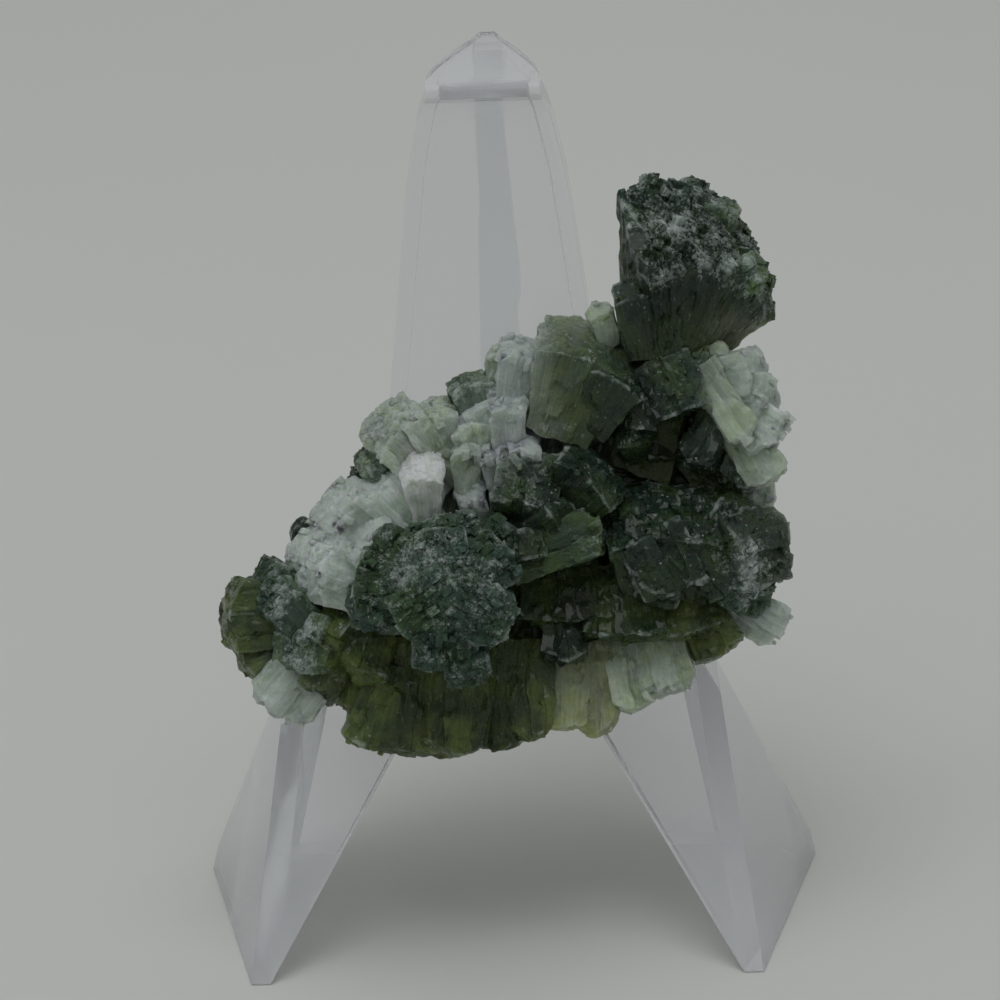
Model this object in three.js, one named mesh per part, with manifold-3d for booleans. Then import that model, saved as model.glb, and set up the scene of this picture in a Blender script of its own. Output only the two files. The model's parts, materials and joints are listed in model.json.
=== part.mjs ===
// Prehnite cluster on a clear display easel. Millimetres, +Z up, the easel's feet on Z = 0.
//
// Two pieces: the cluster, one mass of sheaf-like crystals grown together, and the one-piece clear
// easel that it rests on. The cluster lies on the easel's ledge and leans on its back plate.
import * as THREE from 'three';
import { ConvexGeometry } from 'three/addons/geometries/ConvexGeometry.js';
import { mergeVertices } from 'three/addons/utils/BufferGeometryUtils.js';
import Module from 'manifold-3d';

// Driving dimensions, in millimetres and degrees.
//
// The cluster is described in the frame of its showing side: x to the right, y away, z up.
const SHOW_TURN = 3;                      // the showing side is turned this far from the easel's front
const SHOW_TILT = 25;                     // and leans back this far
const SHOW_ROLL = -3;
const SHOW_CENTRE = [0.7, 16, 36.6];      // middle of the cluster in the easel's frame

// Easel: legs, ledge, back plate, cap and strut.
const LEDGE_TOP = 20.5;                   // height of the ledge that carries the cluster
const LEDGE_FRONT = 15.6;                 // how far behind the front feet the ledge starts
const LEDGE_THICK = 1.5;
const SHEET = 1.5;                        // wall of the moulding
const BACK_START = 24.6;                  // front face of the back plate at the ledge
const BACK_LEAN = 0.2155;                 // run for each unit of rise, about 12 degrees
const FOOT_HALF = 20.6;                   // front feet, half the distance between them
const FOOT_WIDE = 1.6;
const LEG_INNER = 4.6;                    // half the notch between the legs, at the ledge
const LEG_OUTER = 17.4;                   // half the width over the legs, at the ledge
const REAR_HALF = 25.2;                   // half the width over the rear feet
const REAR_BACK = 19.4;                   // rear feet behind the front feet
const RIB_DEEP = 3.0;                     // rib along both edges of the back plate
const RIB_WIDE = 1.4;
const BEND_RADIUS = 0.95;                 // thick bend where the plate turns back into the cap
const CAP_REACH = 11.6;                   // the cap reaches this far back from the bend
const STRUT_FOOT = 52;                    // where the rear strut meets the ground
const STRUT_HALF_TOP = 1.1;
const STRUT_HALF_FOOT = 2.6;
const STRUT_DEEP = 1.8;
const BEARING_GAP = 0.3;                  // air left between the cluster and the easel

// Outline of the back plate: height, half width.
const BACK_OUTLINE = [
  [20.5, 14.8],
  [25.0, 12.0],
  [31.0, 9.8],
  [39.0, 8.6],
  [48.0, 7.5],
  [56.0, 6.5],
  [61.0, 5.4],
  [62.8, 4.7],
];

// Crystals. Each one is a sheaf of plates that spreads from a narrow root to a wider crown:
//   plates, root [x, y, z], middle of the crown [x, y, z], [width at the root, width at the crown],
//   depth of the plates, turn about the sheaf's own axis, how far the crown slopes to the front
const CRYSTALS = [
  // mass that the crystals have grown from
  [1, [-2, 4.5, -14], [2, 4.5, 7], [13, 11], 7, 0, 0],
  [1, [0, 4.5, -8], [-15, 4, -9.5], [10, 7], 6, 0, 0],
  [1, [2, 6.5, -6], [17.5, 6.5, -3], [12, 11], 6, 0, 0],
  [1, [10, 4.5, 1], [14.6, 3.5, 13], [8, 4.6], 6, 0, 0],

  // knob at the top right, a tulip of dark plates
  [3, [13.2, 2, 10.8], [11.2, 1.8, 22.3], [3.8, 4.9], 6.5, 0, 1.5],
  [3, [14.4, 2.2, 10.6], [14.9, 0.8, 21.4], [3.2, 5.6], 8, 0, 4],
  [3, [15.2, 2, 11.2], [19.7, 0.8, 18], [3.2, 7.4], 7.5, 0, 3.6],
  [2, [12.4, 0, 10], [11.6, -1.6, 15.7], [4.2, 5.6], 3.6, 0, 0.8],
  [2, [16.4, 3.5, 18.6], [17.1, 3.5, 22.6], [3.4, 4.6], 4, 0, 1],
  [1, [18.2, 1.2, 15.6], [20.9, 1.2, 17], [2.8, 3.2], 4, 0, 1],
  [1, [12.2, 2, 20.8], [11.3, 2, 23.9], [1.8, 2.2], 4, 0, 0.6],
  [1, [10.4, 3.5, 20.2], [9, 3.6, 21.8], [1, 1.1], 1.6, 0, 0],
  [1, [8.8, 1.5, 10.8], [8, 0.8, 13.8], [1.6, 2.2], 2.4, 0, 0.4],
  [1, [9.5, 5.5, 10.5], [4.9, 6.6, 13.8], [2.4, 2], 3, 0, 0],
  [1, [15, 3, 9.6], [16.9, 3, 11.2], [1.8, 1.8], 2.2, 0, 0],

  // glassy barrel below the knob
  [3, [4.6, 1, 3.6], [7.4, 0.2, 11.2], [5.6, 8.6], 7, 0, 2.6],
  [2, [7.2, 0.5, 4.2], [10.2, -0.5, 9], [3.2, 4.6], 6, 0, 1.6],

  // snowy ridge and the green lumps left of it
  [2, [1, 1.5, 5.6], [1.5, 0.6, 10.8], [2.8, 3], 5, 0, 1],
  [1, [0.8, 0.4, 2.8], [0.5, -0.8, 6.8], [2.6, 3], 4, 0, 1],
  [2, [1.6, 0.2, -0.4], [1.3, -1.4, 3.4], [2.6, 3.6], 4, 0, 1],
  [1, [0.2, 0.5, -0.4], [-0.6, -0.6, 2.6], [2.2, 2.6], 3, 0, 0.6],
  [1, [-0.8, 3, 3.6], [-2.6, 2.5, 8.2], [3.2, 3.6], 5, 0, 0.8],
  [1, [0.4, 3, 5.8], [0.5, 2.5, 10.8], [2.8, 3.2], 4, 0, 0.5],
  [1, [-0.6, 2, 3], [-1.7, 1, 6.7], [2.6, 3.2], 4, 0, 1],
  [2, [-4.4, 3, -0.4], [-9.2, 1.6, 4.9], [4, 5.4], 7, 0, 1.6],
  [1, [-3.4, 3, 0.4], [-5.8, 2, 5.7], [3.2, 4], 6, 0, 1.2],
  [1, [-1.4, 2.5, 0.4], [-2.5, 1.4, 5.6], [3.2, 3.6], 5, 0, 1],
  [1, [-6.2, 4, -2], [-10.6, 3, 2.2], [3.6, 3.4], 5, 0, 0.8],

  // small bright fan and blocks beside it
  [2, [-5.8, 0.4, -3.6], [-6.2, -1.6, 1], [1.8, 3.2], 3, 0, 1],
  [1, [-2.6, 0.8, -1.2], [-2.7, -0.4, 3.2], [2.4, 2.6], 3.4, 0, 0.4],
  [1, [-2, 0.6, -3], [-2.4, -1.2, -0.6], [2.2, 2.4], 3, 0, 1],

  // pale mass on the left
  [2, [-7.6, 2.4, -6.6], [-13.2, 0.8, -2], [4.4, 6], 7, 0, 1.5],
  [1, [-8.4, 2.2, -9], [-15.6, 0.3, -6.4], [4.4, 6], 7, 0, 2],
  [1, [-5.2, 2.6, -5], [-10, 1.6, 0], [4, 5], 6, 0, 1],
  [1, [-7.6, 0, -8.4], [-11.2, -2, -4], [3.4, 4.6], 4, 0, 1.5],
  [1, [-8.8, 5.2, -3.4], [-11.8, 5.2, 0.8], [1.8, 1.8], 3, 0, 0],
  [1, [-13, 5, -6.8], [-16.6, 5, -3.6], [2.2, 2.2], 3, 0, 0],

  // dark lump at the far left, with its clear lower half
  [2, [-14, 4, -11], [-22.4, 4.2, -11], [5, 6], 7, 0, 1.5],
  [1, [-14.6, 3.8, -10.6], [-19.5, 3.8, -7.9], [4, 4.2], 6, 0, 1.5],
  [1, [-14.6, 3.6, -11.6], [-21, 3.8, -14.6], [4, 4.4], 5, 0, 0.8],
  [1, [-12.6, 2, -12], [-18.2, 1.8, -18.6], [4.4, 5.6], 3.6, 0, 0],

  // crusted lumps and the olive disc
  [1, [-14.6, 2, -12.6], [-18.2, 0, -9], [3.6, 3.6], 4, 0, 1],
  [1, [-13, 2.2, -13.4], [-16.3, -0.6, -12.8], [4, 5], 4, 0, 1.5],
  [1, [-12, 2.4, -13.6], [-14.2, -1, -12.2], [3.4, 4.6], 3.4, 0, 0],
  [1, [-12.4, 2, -13.2], [-15, 1.4, -17.2], [3.8, 3.8], 4, 0, 0.5],
  [1, [-10, 1.6, -12.4], [-11.5, 0.2, -16], [3.8, 4.2], 4, 0, 0.6],
  [1, [-10, 3, -9], [-11.2, 2.2, -18.6], [5, 6], 3, 0, 0],
  [2, [-8.4, 1.8, -15], [-10.4, 1.4, -21.9], [4.4, 5.2], 4.2, 0, 0],

  // lump that stands out to the front, its ragged crowns facing forward
  [1, [-4, 0, -8], [-4.8, -4.6, -4.6], [6, 7], 4, 0, 1],
  [1, [-1.6, 0, -6.4], [-0.2, -5, -5.2], [4, 4.5], 4, 0, 1],
  [1, [-4.8, 0, -8.6], [-8.4, -7.4, -6.4], [4, 5.2], 5.4, 0, 0],
  [1, [-4.4, 0, -8.4], [-4.9, -8.6, -6.2], [4, 5.2], 5, 0, 0],
  [1, [-3, 0, -8.4], [-1.2, -8, -6.9], [4, 4.8], 5, 0, 0],
  [1, [-5.2, 0, -9.2], [-9.4, -8.2, -9.6], [4, 5], 5, 0, 0],
  [2, [-4.6, 0, -9.4], [-5.6, -10.4, -10.1], [4.6, 5.6], 5.4, 0, 0],
  [1, [-3.4, 0, -9.4], [-1.3, -9.8, -10.5], [4.4, 5], 5, 0, 0],
  [2, [-4.2, 0, -10], [-4.3, -9.2, -13.2], [4.2, 5.2], 4.4, 0, 0],
  [3, [-3.4, -4, -11], [-2.5, -7.6, -15.6], [3.6, 3.6], 3.4, 0, 0],
  [2, [-6, -2.4, -9.4], [-11.5, -6.2, -10], [4, 3.8], 3, 0, 0],

  // dark fans in the middle
  [1, [1.6, 1, -3.4], [2.4, -3.4, 0.4], [4.2, 5.4], 5, 0, 1],
  [2, [3.8, 1.5, -3.4], [7.8, -2.8, 0.8], [3.6, 6], 4, 0, 0],
  [3, [0.8, -2.4, -6.8], [8, -3.2, -3.8], [3.2, 4], 3.4, 0, 0],
  [1, [2.4, 0, -6.2], [2.2, -5.2, -5], [2.2, 2.6], 2.4, 0, 0],
  [1, [1.6, -1, -4.2], [4.8, -4, -2.2], [2, 2.8], 3, 0, 0],

  // cavity at the right with slabs standing in it
  [1, [12.8, 6, 6.6], [12.3, 3.6, 0.8], [4, 5], 5, 0, 0],
  [2, [18, 2, 6], [15.6, 0.6, 0.8], [2.6, 3.2], 3.5, 20, 0],
  [1, [20.4, 2.5, 4.4], [18.9, 1.6, -0.8], [2.6, 3.4], 3, 0, 0],
  [1, [15.6, 5, 3.4], [19.6, 4, -1.6], [5, 5.4], 4.6, 0, 0],
  [1, [14, 4, 6.6], [13.6, -2.2, 7.6], [4.4, 5], 4.6, 0, 0],
  [1, [11.2, 3, 4.2], [11.2, -1.8, 5.6], [2.6, 2.8], 3, 0, 0],
  [1, [14.4, 3, 7.8], [14.7, -0.5, 10], [5.2, 5.6], 3, 0, 0.6],
  [1, [11.2, 3, 2.2], [10.2, -1.5, 4.4], [2.2, 2.6], 3, 0, 0],

  // pale slab that hangs down the right side
  [2, [16.6, 1.6, 7.8], [20.6, 0, 9], [3.4, 3.6], 3.4, 0, 0.6],
  [1, [17, 1.6, 7.2], [21.6, 0, 6], [3.6, 4.4], 3.4, 0, 0.6],
  [2, [17.8, 1.5, 6.6], [22.2, 0.3, 3], [3.6, 4.6], 3.2, 0, 0],
  [1, [18.6, 1.5, 4.8], [21.6, 0.8, -0.1], [3.2, 3.8], 3, 0, 0],
  [1, [16, 0, 9], [19.8, -0.8, 3.2], [2.8, 2.8], 2.2, 0, 0],
  [1, [15.8, 2, 8.6], [18.5, 1.2, 9.9], [3, 3], 3, 0, 0],
  [1, [17.6, 4.4, 0.4], [21.9, 5, -1.6], [3.2, 2.8], 2.6, 0, 0],

  // rounded dark cluster at the right
  [2, [12.6, 3, -9.6], [11.2, -1.5, -2.4], [5, 6.4], 6, 0, 1.5],
  [2, [15.2, 3, -9.6], [15.9, -1, -2.7], [4.6, 6], 6, 0, 1.5],
  [1, [12.8, 2, -6.2], [13, -3.4, -6.6], [4, 5.6], 5, 0, 0],
  [1, [13.2, -0.5, -6.2], [12.4, -2, -9.6], [3, 3.4], 3, 0, 0],
  [2, [16.4, 2, -6.6], [21.2, -0.8, -5.2], [4.8, 6.4], 6, 0, 1.5],
  [1, [16.4, 1.5, -7], [20.8, -0.6, -8.8], [4.2, 5], 5, 0, 0.6],
  [1, [17.2, 2, -6], [19.2, -0.8, -3.2], [3.8, 4.4], 5, 0, 1],
  [1, [16.8, 2, -6.2], [17.1, -2.7, -6.6], [4, 5], 5, 0, 0],

  // olive underside, receding
  [1, [4.8, 3, -6], [4.8, 1, -11.8], [6.4, 7], 5, 0, -1],
  [1, [9.8, 3, -7.6], [10, 1, -13], [6.4, 7], 6, 0, -1],
  [1, [14.4, 3, -8], [15.2, 1.4, -12.6], [6, 6], 5, 0, -1],
  [1, [4.8, 1.6, -10], [5.2, 0.4, -14.8], [3.2, 3.6], 3.4, 0, 0],
  [1, [17.6, 3, -9], [22.6, 3.3, -12.2], [3.6, 3.8], 4, 0, 0],
  [1, [12, 3, -11.6], [13.6, 1.8, -17], [4.6, 5], 4, 0, 0],
  [1, [15.6, 3, -10], [18, 2.8, -14], [4.2, 4.6], 4, 0, 0],
  [1, [9.6, 2.6, -12.2], [11, 1.6, -18.4], [3.6, 3.6], 3.6, 0, 0],
  [1, [7.2, 2.4, -14], [8, 2, -20.5], [3.4, 3], 3.4, 0, 0],
  [1, [4.8, 2, -14], [4.4, 2, -20.2], [3.6, 4], 3.4, 0, 0],
  [1, [7.6, 2.4, -13.6], [9.2, 2.2, -18.2], [3.2, 2.8], 3, 0, 0],
  [3, [-6.4, 2, -14.6], [-7.2, 1.3, -22], [4, 4.6], 4.2, 0, 0],
  [2, [-3.2, 1.6, -13.8], [-3.4, 1, -21.8], [4.4, 4.8], 4.4, 0, 0],
  [1, [0.2, 1.5, -13.8], [0, 1.1, -22.2], [4.4, 3.4], 4, 0, 0],
  [1, [2.2, 2, -14.4], [2.3, 1.6, -20.8], [3.4, 3], 3.6, 0, 0],

  // back: fans that bear on the plate and, lower down, on the ledge
  [1, [-6, 5, -6], [-7.5, 10.6, -3.4], [6, 7], 6, 0, 0],
  [1, [-10, 5, -8], [-14.4, 8.6, -6.4], [5, 6], 6, 0, 0],
  [1, [0, 5, 0], [-0.6, 11.2, 3.4], [6, 7], 6, 0, 0],
  [1, [2, 5, -5], [3.4, 11.9, -4.4], [6, 7], 7, 0, 0],
  [1, [8, 6, -2], [10.4, 11, 0.6], [6, 6.4], 6, 0, 0],
  [1, [12, 6, -6], [16.2, 9.6, -7.6], [6, 6], 6, 0, 0],
  [1, [-7, 6, -8.4], [-8.2, 10.4, -12.6], [6, 6.4], 6, 0, 0],
  [1, [7.6, 6, -8.4], [8.6, 10.4, -12.4], [6, 6.4], 6, 0, 0],
  [1, [0.2, 6, -8], [0.4, 11.6, -11.4], [6, 6], 6, 0, 0],
  [1, [10.6, 4.6, 4], [12, 8.6, 8], [5, 5.4], 5, 0, 0],
  [1, [15.4, 5, 3], [18.8, 6.4, 4.8], [4, 4.4], 4, 0, 0],
  [1, [13.8, 3.6, 13], [14.6, 5.4, 18.4], [3.4, 5.4], 4, 0, 0],
];

const wasm = await Module();
wasm.setup();

const radians = THREE.MathUtils.degToRad;

// The same run of numbers between 0 and 1 every time.
function numbersFrom(seed) {
  let state = seed;
  return () => {
    state = (state * 1664525 + 1013904223) % 4294967296;
    return state / 4294967296;
  };
}

// A closed three.js surface as a solid.
function solidOf(geometry) {
  const bare = geometry.clone();
  bare.deleteAttribute('normal');
  bare.deleteAttribute('uv');
  const welded = mergeVertices(bare, 1e-4);
  return new wasm.Manifold(new wasm.Mesh({
    numProp: 3,
    vertProperties: new Float32Array(welded.attributes.position.array),
    triVerts: new Uint32Array(welded.index.array),
  }));
}

// The convex solid around some corners.
function hull(corners) {
  return solidOf(new ConvexGeometry(corners.map((corner) => new THREE.Vector3(...corner))));
}

// Joins solids in pairs, which keeps the work even.
function joined(solids) {
  let row = solids;
  while (row.length > 1) {
    const next = [];
    for (let i = 0; i < row.length; i += 2) {
      next.push(i + 1 < row.length ? row[i].add(row[i + 1]) : row[i]);
    }
    row = next;
  }
  return row[0];
}

// The one outer body of a solid, without chips that came loose and without closed pockets inside.
function mainBody(solid) {
  const bodies = solid.decompose();
  bodies.sort((a, b) => b.volume() - a.volume());
  return bodies[0];
}

function meshOf(solid, name, material) {
  const mesh = solid.getMesh();
  const geometry = new THREE.BufferGeometry();
  geometry.setAttribute('position', new THREE.BufferAttribute(new Float32Array(mesh.vertProperties), 3));
  geometry.setIndex(new THREE.BufferAttribute(new Uint32Array(mesh.triVerts), 1));
  geometry.computeVertexNormals();
  const result = new THREE.Mesh(geometry, material);
  result.name = name;
  return result;
}

// How a sheaf of the cluster is shaped.
const AWAY = new THREE.Vector3(0, 1, 0);
const CROWN_ARC = 0.09;                   // crowns fall off to their sides, as parts of the length
const CROWN_CHAMFER = 0.55;               // broken edge round a crown
const UNEVEN = 0.16;                      // corners wander by up to this much

// One plate of a sheaf: a wedge between two sides of the fan, with a broken crown.
function plate(fan, from, to, random) {
  const { start, aim, across, deep, length, widths, depth, slant } = fan;
  const lift = (random() - 0.5) * 0.14 * length;
  const thick = depth * (0.86 + 0.24 * random());
  const push = (random() - 0.5) * 0.16 * depth;
  const rings = [
    [0, 1, 0.84],
    [length - CROWN_CHAMFER + lift, 1, 1],
    [length + lift, 0.86, 0.8],
  ];
  const corners = [];
  for (const [height, narrow, shallow] of rings) {
    const share = Math.min(height / length, 1);
    const width = THREE.MathUtils.lerp(widths[0], widths[1], share) * narrow;
    for (const side of [from, to]) {
      for (const face of [-1, 1]) {
        const fall = share * (CROWN_ARC * length * side * side - face * slant / 2);
        const corner = start.clone()
          .addScaledVector(aim, height - fall)
          .addScaledVector(across, side * width / 2)
          .addScaledVector(deep, push + face * shallow * thick / 2);
        corner.x += (random() - 0.5) * UNEVEN;
        corner.y += (random() - 0.5) * UNEVEN;
        corner.z += (random() - 0.5) * UNEVEN;
        corners.push(corner.toArray());
      }
    }
  }
  return hull(corners);
}

function sheaf([plates, root, crown, widths, depth, turn, slant], index) {
  const random = numbersFrom(7919 * (index + 1));
  const start = new THREE.Vector3(...root);
  const aim = new THREE.Vector3(...crown).sub(start);
  const length = aim.length();
  aim.normalize();
  const across = aim.clone().cross(AWAY).normalize().applyAxisAngle(aim, radians(turn));
  const deep = across.clone().cross(aim).normalize();
  const fan = { start, aim, across, deep, length, widths, depth, slant };
  const solids = [];
  for (let i = 0; i < plates; i += 1) {
    const from = -1 + (2 * i) / plates;
    const to = -1 + (2 * (i + 1)) / plates;
    solids.push(plate(fan, from - 0.04, to + 0.04, random));
  }
  return solids;
}

// Turns the showing side the way it faces on the easel.
function showingPose() {
  const turn = radians(SHOW_TURN);
  const tilt = radians(SHOW_TILT);
  const roll = radians(SHOW_ROLL);
  const right = new THREE.Vector3(Math.cos(turn), Math.sin(turn), 0);
  const flat = Math.cos(tilt);
  const away = new THREE.Vector3(-Math.sin(turn) * flat, Math.cos(turn) * flat, -Math.sin(tilt));
  const up = right.clone().cross(away);
  const x = right.clone().multiplyScalar(Math.cos(roll)).addScaledVector(up, Math.sin(roll));
  const z = up.clone().multiplyScalar(Math.cos(roll)).addScaledVector(right, -Math.sin(roll));
  return new THREE.Matrix4().makeBasis(x, away, z).setPosition(...SHOW_CENTRE);
}

function cluster() {
  const solids = CRYSTALS.flatMap(sheaf);
  return joined(solids).transform(showingPose().elements);
}

// The easel: front face of the back plate at a height, then its parts from the legs up.
const backFace = (height) => BACK_START + (height - LEDGE_TOP) * BACK_LEAN;

function leg(side) {
  const front = [
    [side * (FOOT_HALF - FOOT_WIDE), 0, 0],
    [side * FOOT_HALF, 0, 0],
    [side * LEG_OUTER, LEDGE_FRONT, LEDGE_TOP],
    [side * LEG_INNER, LEDGE_FRONT, LEDGE_TOP],
  ];
  const run = SHEET * 1.25;
  return hull([...front, ...front.map(([x, y, z]) => [x, y + run, z])]);
}

// Side wing of a leg, from the front foot back to the rear foot and up to the ledge.
function wing(side) {
  const backTop = backFace(LEDGE_TOP) + SHEET;
  const rim = BACK_OUTLINE[0][1];
  const outer = [
    [FOOT_HALF, 0, 0],
    [REAR_HALF, REAR_BACK, 0],
    [REAR_HALF - 0.4, REAR_BACK + 1.1, 1.4],
    [rim, backTop, LEDGE_TOP],
    [LEG_OUTER, LEDGE_FRONT, LEDGE_TOP],
  ];
  const corners = outer.flatMap(([x, y, z]) => [[side * x, y, z], [side * (x - SHEET), y, z]]);
  return hull(corners);
}

function ledge() {
  const backTop = backFace(LEDGE_TOP) + SHEET;
  const corners = [];
  for (const z of [LEDGE_TOP - LEDGE_THICK, LEDGE_TOP]) {
    for (const side of [-1, 1]) {
      corners.push([side * (LEG_OUTER - 0.3), LEDGE_FRONT, z]);
      corners.push([side * (BACK_OUTLINE[0][1] - 0.3), backTop, z]);
    }
  }
  return hull(corners);
}

// Back plate with a rib along each edge, one band of the outline after the other.
function backPlate() {
  const bands = [];
  for (let i = 0; i + 1 < BACK_OUTLINE.length; i += 1) {
    const sheet = [];
    for (const [height, half] of [BACK_OUTLINE[i], BACK_OUTLINE[i + 1]]) {
      for (const side of [-1, 1]) {
        sheet.push([side * half, backFace(height), height]);
        sheet.push([side * half, backFace(height) + SHEET, height]);
      }
    }
    bands.push(hull(sheet));
    for (const side of [-1, 1]) {
      const rib = [];
      for (const [height, half] of [BACK_OUTLINE[i], BACK_OUTLINE[i + 1]]) {
        for (const inset of [0, RIB_WIDE]) {
          rib.push([side * (half - inset), backFace(height), height]);
          rib.push([side * (half - inset), backFace(height) + RIB_DEEP, height]);
        }
      }
      bands.push(hull(rib));
    }
  }
  return joined(bands);
}

// Thick bend at the top, the rounded cap behind it and the strut that goes down to the ground.
function topAndStrut() {
  const [height, half] = BACK_OUTLINE[BACK_OUTLINE.length - 1];
  const bendY = backFace(height) + BEND_RADIUS * 0.7;
  const bend = [];
  for (let i = 0; i < 12; i += 1) {
    const angle = (i / 12) * 2 * Math.PI;
    const y = bendY + BEND_RADIUS * Math.cos(angle);
    const z = height + BEND_RADIUS * Math.sin(angle);
    bend.push([-half, y, z], [half, y, z]);
  }
  const cap = [];
  for (let i = 0; i <= 6; i += 1) {
    const angle = (i / 6) * (Math.PI / 2);
    const x = half * Math.max(Math.cos(angle), 0.12);
    const y = bendY + (CAP_REACH * i) / 6;
    for (const side of [-1, 1]) {
      cap.push([side * x, y, height + BEND_RADIUS]);
      cap.push([side * x, y, height + BEND_RADIUS - SHEET]);
    }
  }
  const strutTop = bendY + CAP_REACH - 2.2;
  const strut = [];
  for (const [y, z, wide] of [[strutTop, height, STRUT_HALF_TOP], [STRUT_FOOT, 0, STRUT_HALF_FOOT]]) {
    for (const side of [-1, 1]) {
      strut.push([side * wide, y - STRUT_DEEP / 2, z]);
      strut.push([side * wide, y + STRUT_DEEP / 2, z]);
    }
  }
  return joined([hull(bend), hull(cap), hull(strut)]);
}

function easel() {
  return joined([leg(-1), leg(1), wing(-1), wing(1), ledge(), backPlate(), topAndStrut()]);
}

// Room that the easel takes away from the cluster: everything below the ledge and behind the plate,
// as wide as the easel, with the bearing gap. It leaves the small flats the cluster bears on.
function bearingRoom() {
  const gap = BEARING_GAP;
  const far = 30;
  const rooms = [];
  const topFront = LEDGE_FRONT - gap;
  const wide = LEG_OUTER + 1;
  const low = (y, z) => [[-wide, y, z], [wide, y, z]];
  rooms.push(hull([
    ...low(topFront, LEDGE_TOP + gap),
    ...low(far, LEDGE_TOP + gap),
    ...low(topFront, LEDGE_TOP - 3),
    ...low(far, LEDGE_TOP - 3),
  ]));
  const footWide = REAR_HALF + 1;
  rooms.push(hull([
    ...low(topFront, LEDGE_TOP),
    ...low(far, LEDGE_TOP),
    [-footWide, -gap, 0],
    [footWide, -gap, 0],
    [-footWide, far, 0],
    [footWide, far, 0],
  ]));
  for (let i = 0; i + 1 < BACK_OUTLINE.length; i += 1) {
    const corners = [];
    for (const [height, half] of [BACK_OUTLINE[i], BACK_OUTLINE[i + 1]]) {
      for (const side of [-1, 1]) {
        corners.push([side * (half + gap), backFace(height) - gap, height]);
        corners.push([side * (half + gap), far + 10, height]);
      }
    }
    rooms.push(hull(corners));
  }
  return joined(rooms);
}

// Both pieces, in one group.
const stoneMaterial = new THREE.MeshStandardMaterial({ color: 0x4c5a4a, roughness: 0.45, metalness: 0 });
const clearMaterial = new THREE.MeshStandardMaterial({ color: 0xdfe6ea, roughness: 0.06, metalness: 0 });
clearMaterial.transparent = true;
clearMaterial.opacity = 0.35;

const group = new THREE.Group();
group.name = 'prehnite_on_easel';
const stone = mainBody(cluster().subtract(bearingRoom()));
const holder = easel();
group.add(meshOf(stone, 'prehnite', stoneMaterial));
group.add(meshOf(holder, 'easel', clearMaterial));

// The middle of the footprint becomes the origin.
const box = new THREE.Box3().setFromObject(group);
const centre = box.getCenter(new THREE.Vector3());
for (const mesh of group.children) {
  mesh.geometry.translate(-centre.x, -centre.y, -box.min.z);
}

export default group;
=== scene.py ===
"""Prehnite cluster on a clear display easel: the looks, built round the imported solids."""
import json
import math
import random

import bmesh
import bpy
import numpy as np
from mathutils import Matrix, Vector, noise

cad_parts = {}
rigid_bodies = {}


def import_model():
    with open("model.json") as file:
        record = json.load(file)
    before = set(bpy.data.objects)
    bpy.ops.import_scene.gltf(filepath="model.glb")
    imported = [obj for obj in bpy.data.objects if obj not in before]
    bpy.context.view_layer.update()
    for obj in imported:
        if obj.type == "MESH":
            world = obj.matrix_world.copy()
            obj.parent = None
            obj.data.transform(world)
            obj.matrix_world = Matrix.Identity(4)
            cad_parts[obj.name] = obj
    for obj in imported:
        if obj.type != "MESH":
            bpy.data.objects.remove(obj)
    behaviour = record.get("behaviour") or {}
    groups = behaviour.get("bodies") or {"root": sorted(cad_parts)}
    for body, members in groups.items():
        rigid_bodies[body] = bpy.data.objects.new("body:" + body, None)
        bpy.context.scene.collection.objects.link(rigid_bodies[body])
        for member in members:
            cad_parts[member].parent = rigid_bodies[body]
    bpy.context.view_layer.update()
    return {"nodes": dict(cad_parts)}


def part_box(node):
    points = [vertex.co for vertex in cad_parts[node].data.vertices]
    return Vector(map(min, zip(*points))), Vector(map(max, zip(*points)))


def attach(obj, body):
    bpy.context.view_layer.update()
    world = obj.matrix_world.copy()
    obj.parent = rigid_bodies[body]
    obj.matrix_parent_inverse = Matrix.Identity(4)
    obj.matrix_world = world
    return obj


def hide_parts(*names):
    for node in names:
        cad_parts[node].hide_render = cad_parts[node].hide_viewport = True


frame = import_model()

MM = 0.001

# Where things are

# The cluster is described, in millimetres, in the frame of its showing side: x right, y away, z up.
# The easel's own frame has its origin on the line between the front feet.
SHOW_TURN = math.radians(3)
SHOW_TILT = math.radians(25)
SHOW_ROLL = math.radians(-3)
SHOW_CENTRE = Vector((0.7, 16, 36.6))
EASEL_ORIGIN = Vector((0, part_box("easel")[0][1] / MM, 0))

# Camera: a long lens, looking just below the cluster's middle; how far away it stood is a guess.
CAMERA_DISTANCE = 420 * MM
FRAME_WIDTH = 80 * MM                     # what the picture takes in at that distance
AIM_BELOW = 1.6                           # the picture's middle is this far below the cluster's, mm
SENSOR = 36.0
STUDIO_LOW = 0.23                         # how bright the studio is at the horizon
STUDIO_HIGH = 0.5                         # and straight above


def showing_frame():
    """The showing side's axes as a matrix, from cluster millimetres to the row's metres."""
    right = Vector((math.cos(SHOW_TURN), math.sin(SHOW_TURN), 0))
    away = Vector((-math.sin(SHOW_TURN) * math.cos(SHOW_TILT),
                   math.cos(SHOW_TURN) * math.cos(SHOW_TILT),
                   -math.sin(SHOW_TILT)))
    up = right.cross(away)
    x = right * math.cos(SHOW_ROLL) + up * math.sin(SHOW_ROLL)
    z = up * math.cos(SHOW_ROLL) - right * math.sin(SHOW_ROLL)
    turned = Matrix((x, away, z)).transposed().to_4x4()
    return Matrix.Scale(MM, 4) @ Matrix.Translation(EASEL_ORIGIN + SHOW_CENTRE) @ turned


SHOWING = showing_frame()

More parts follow.
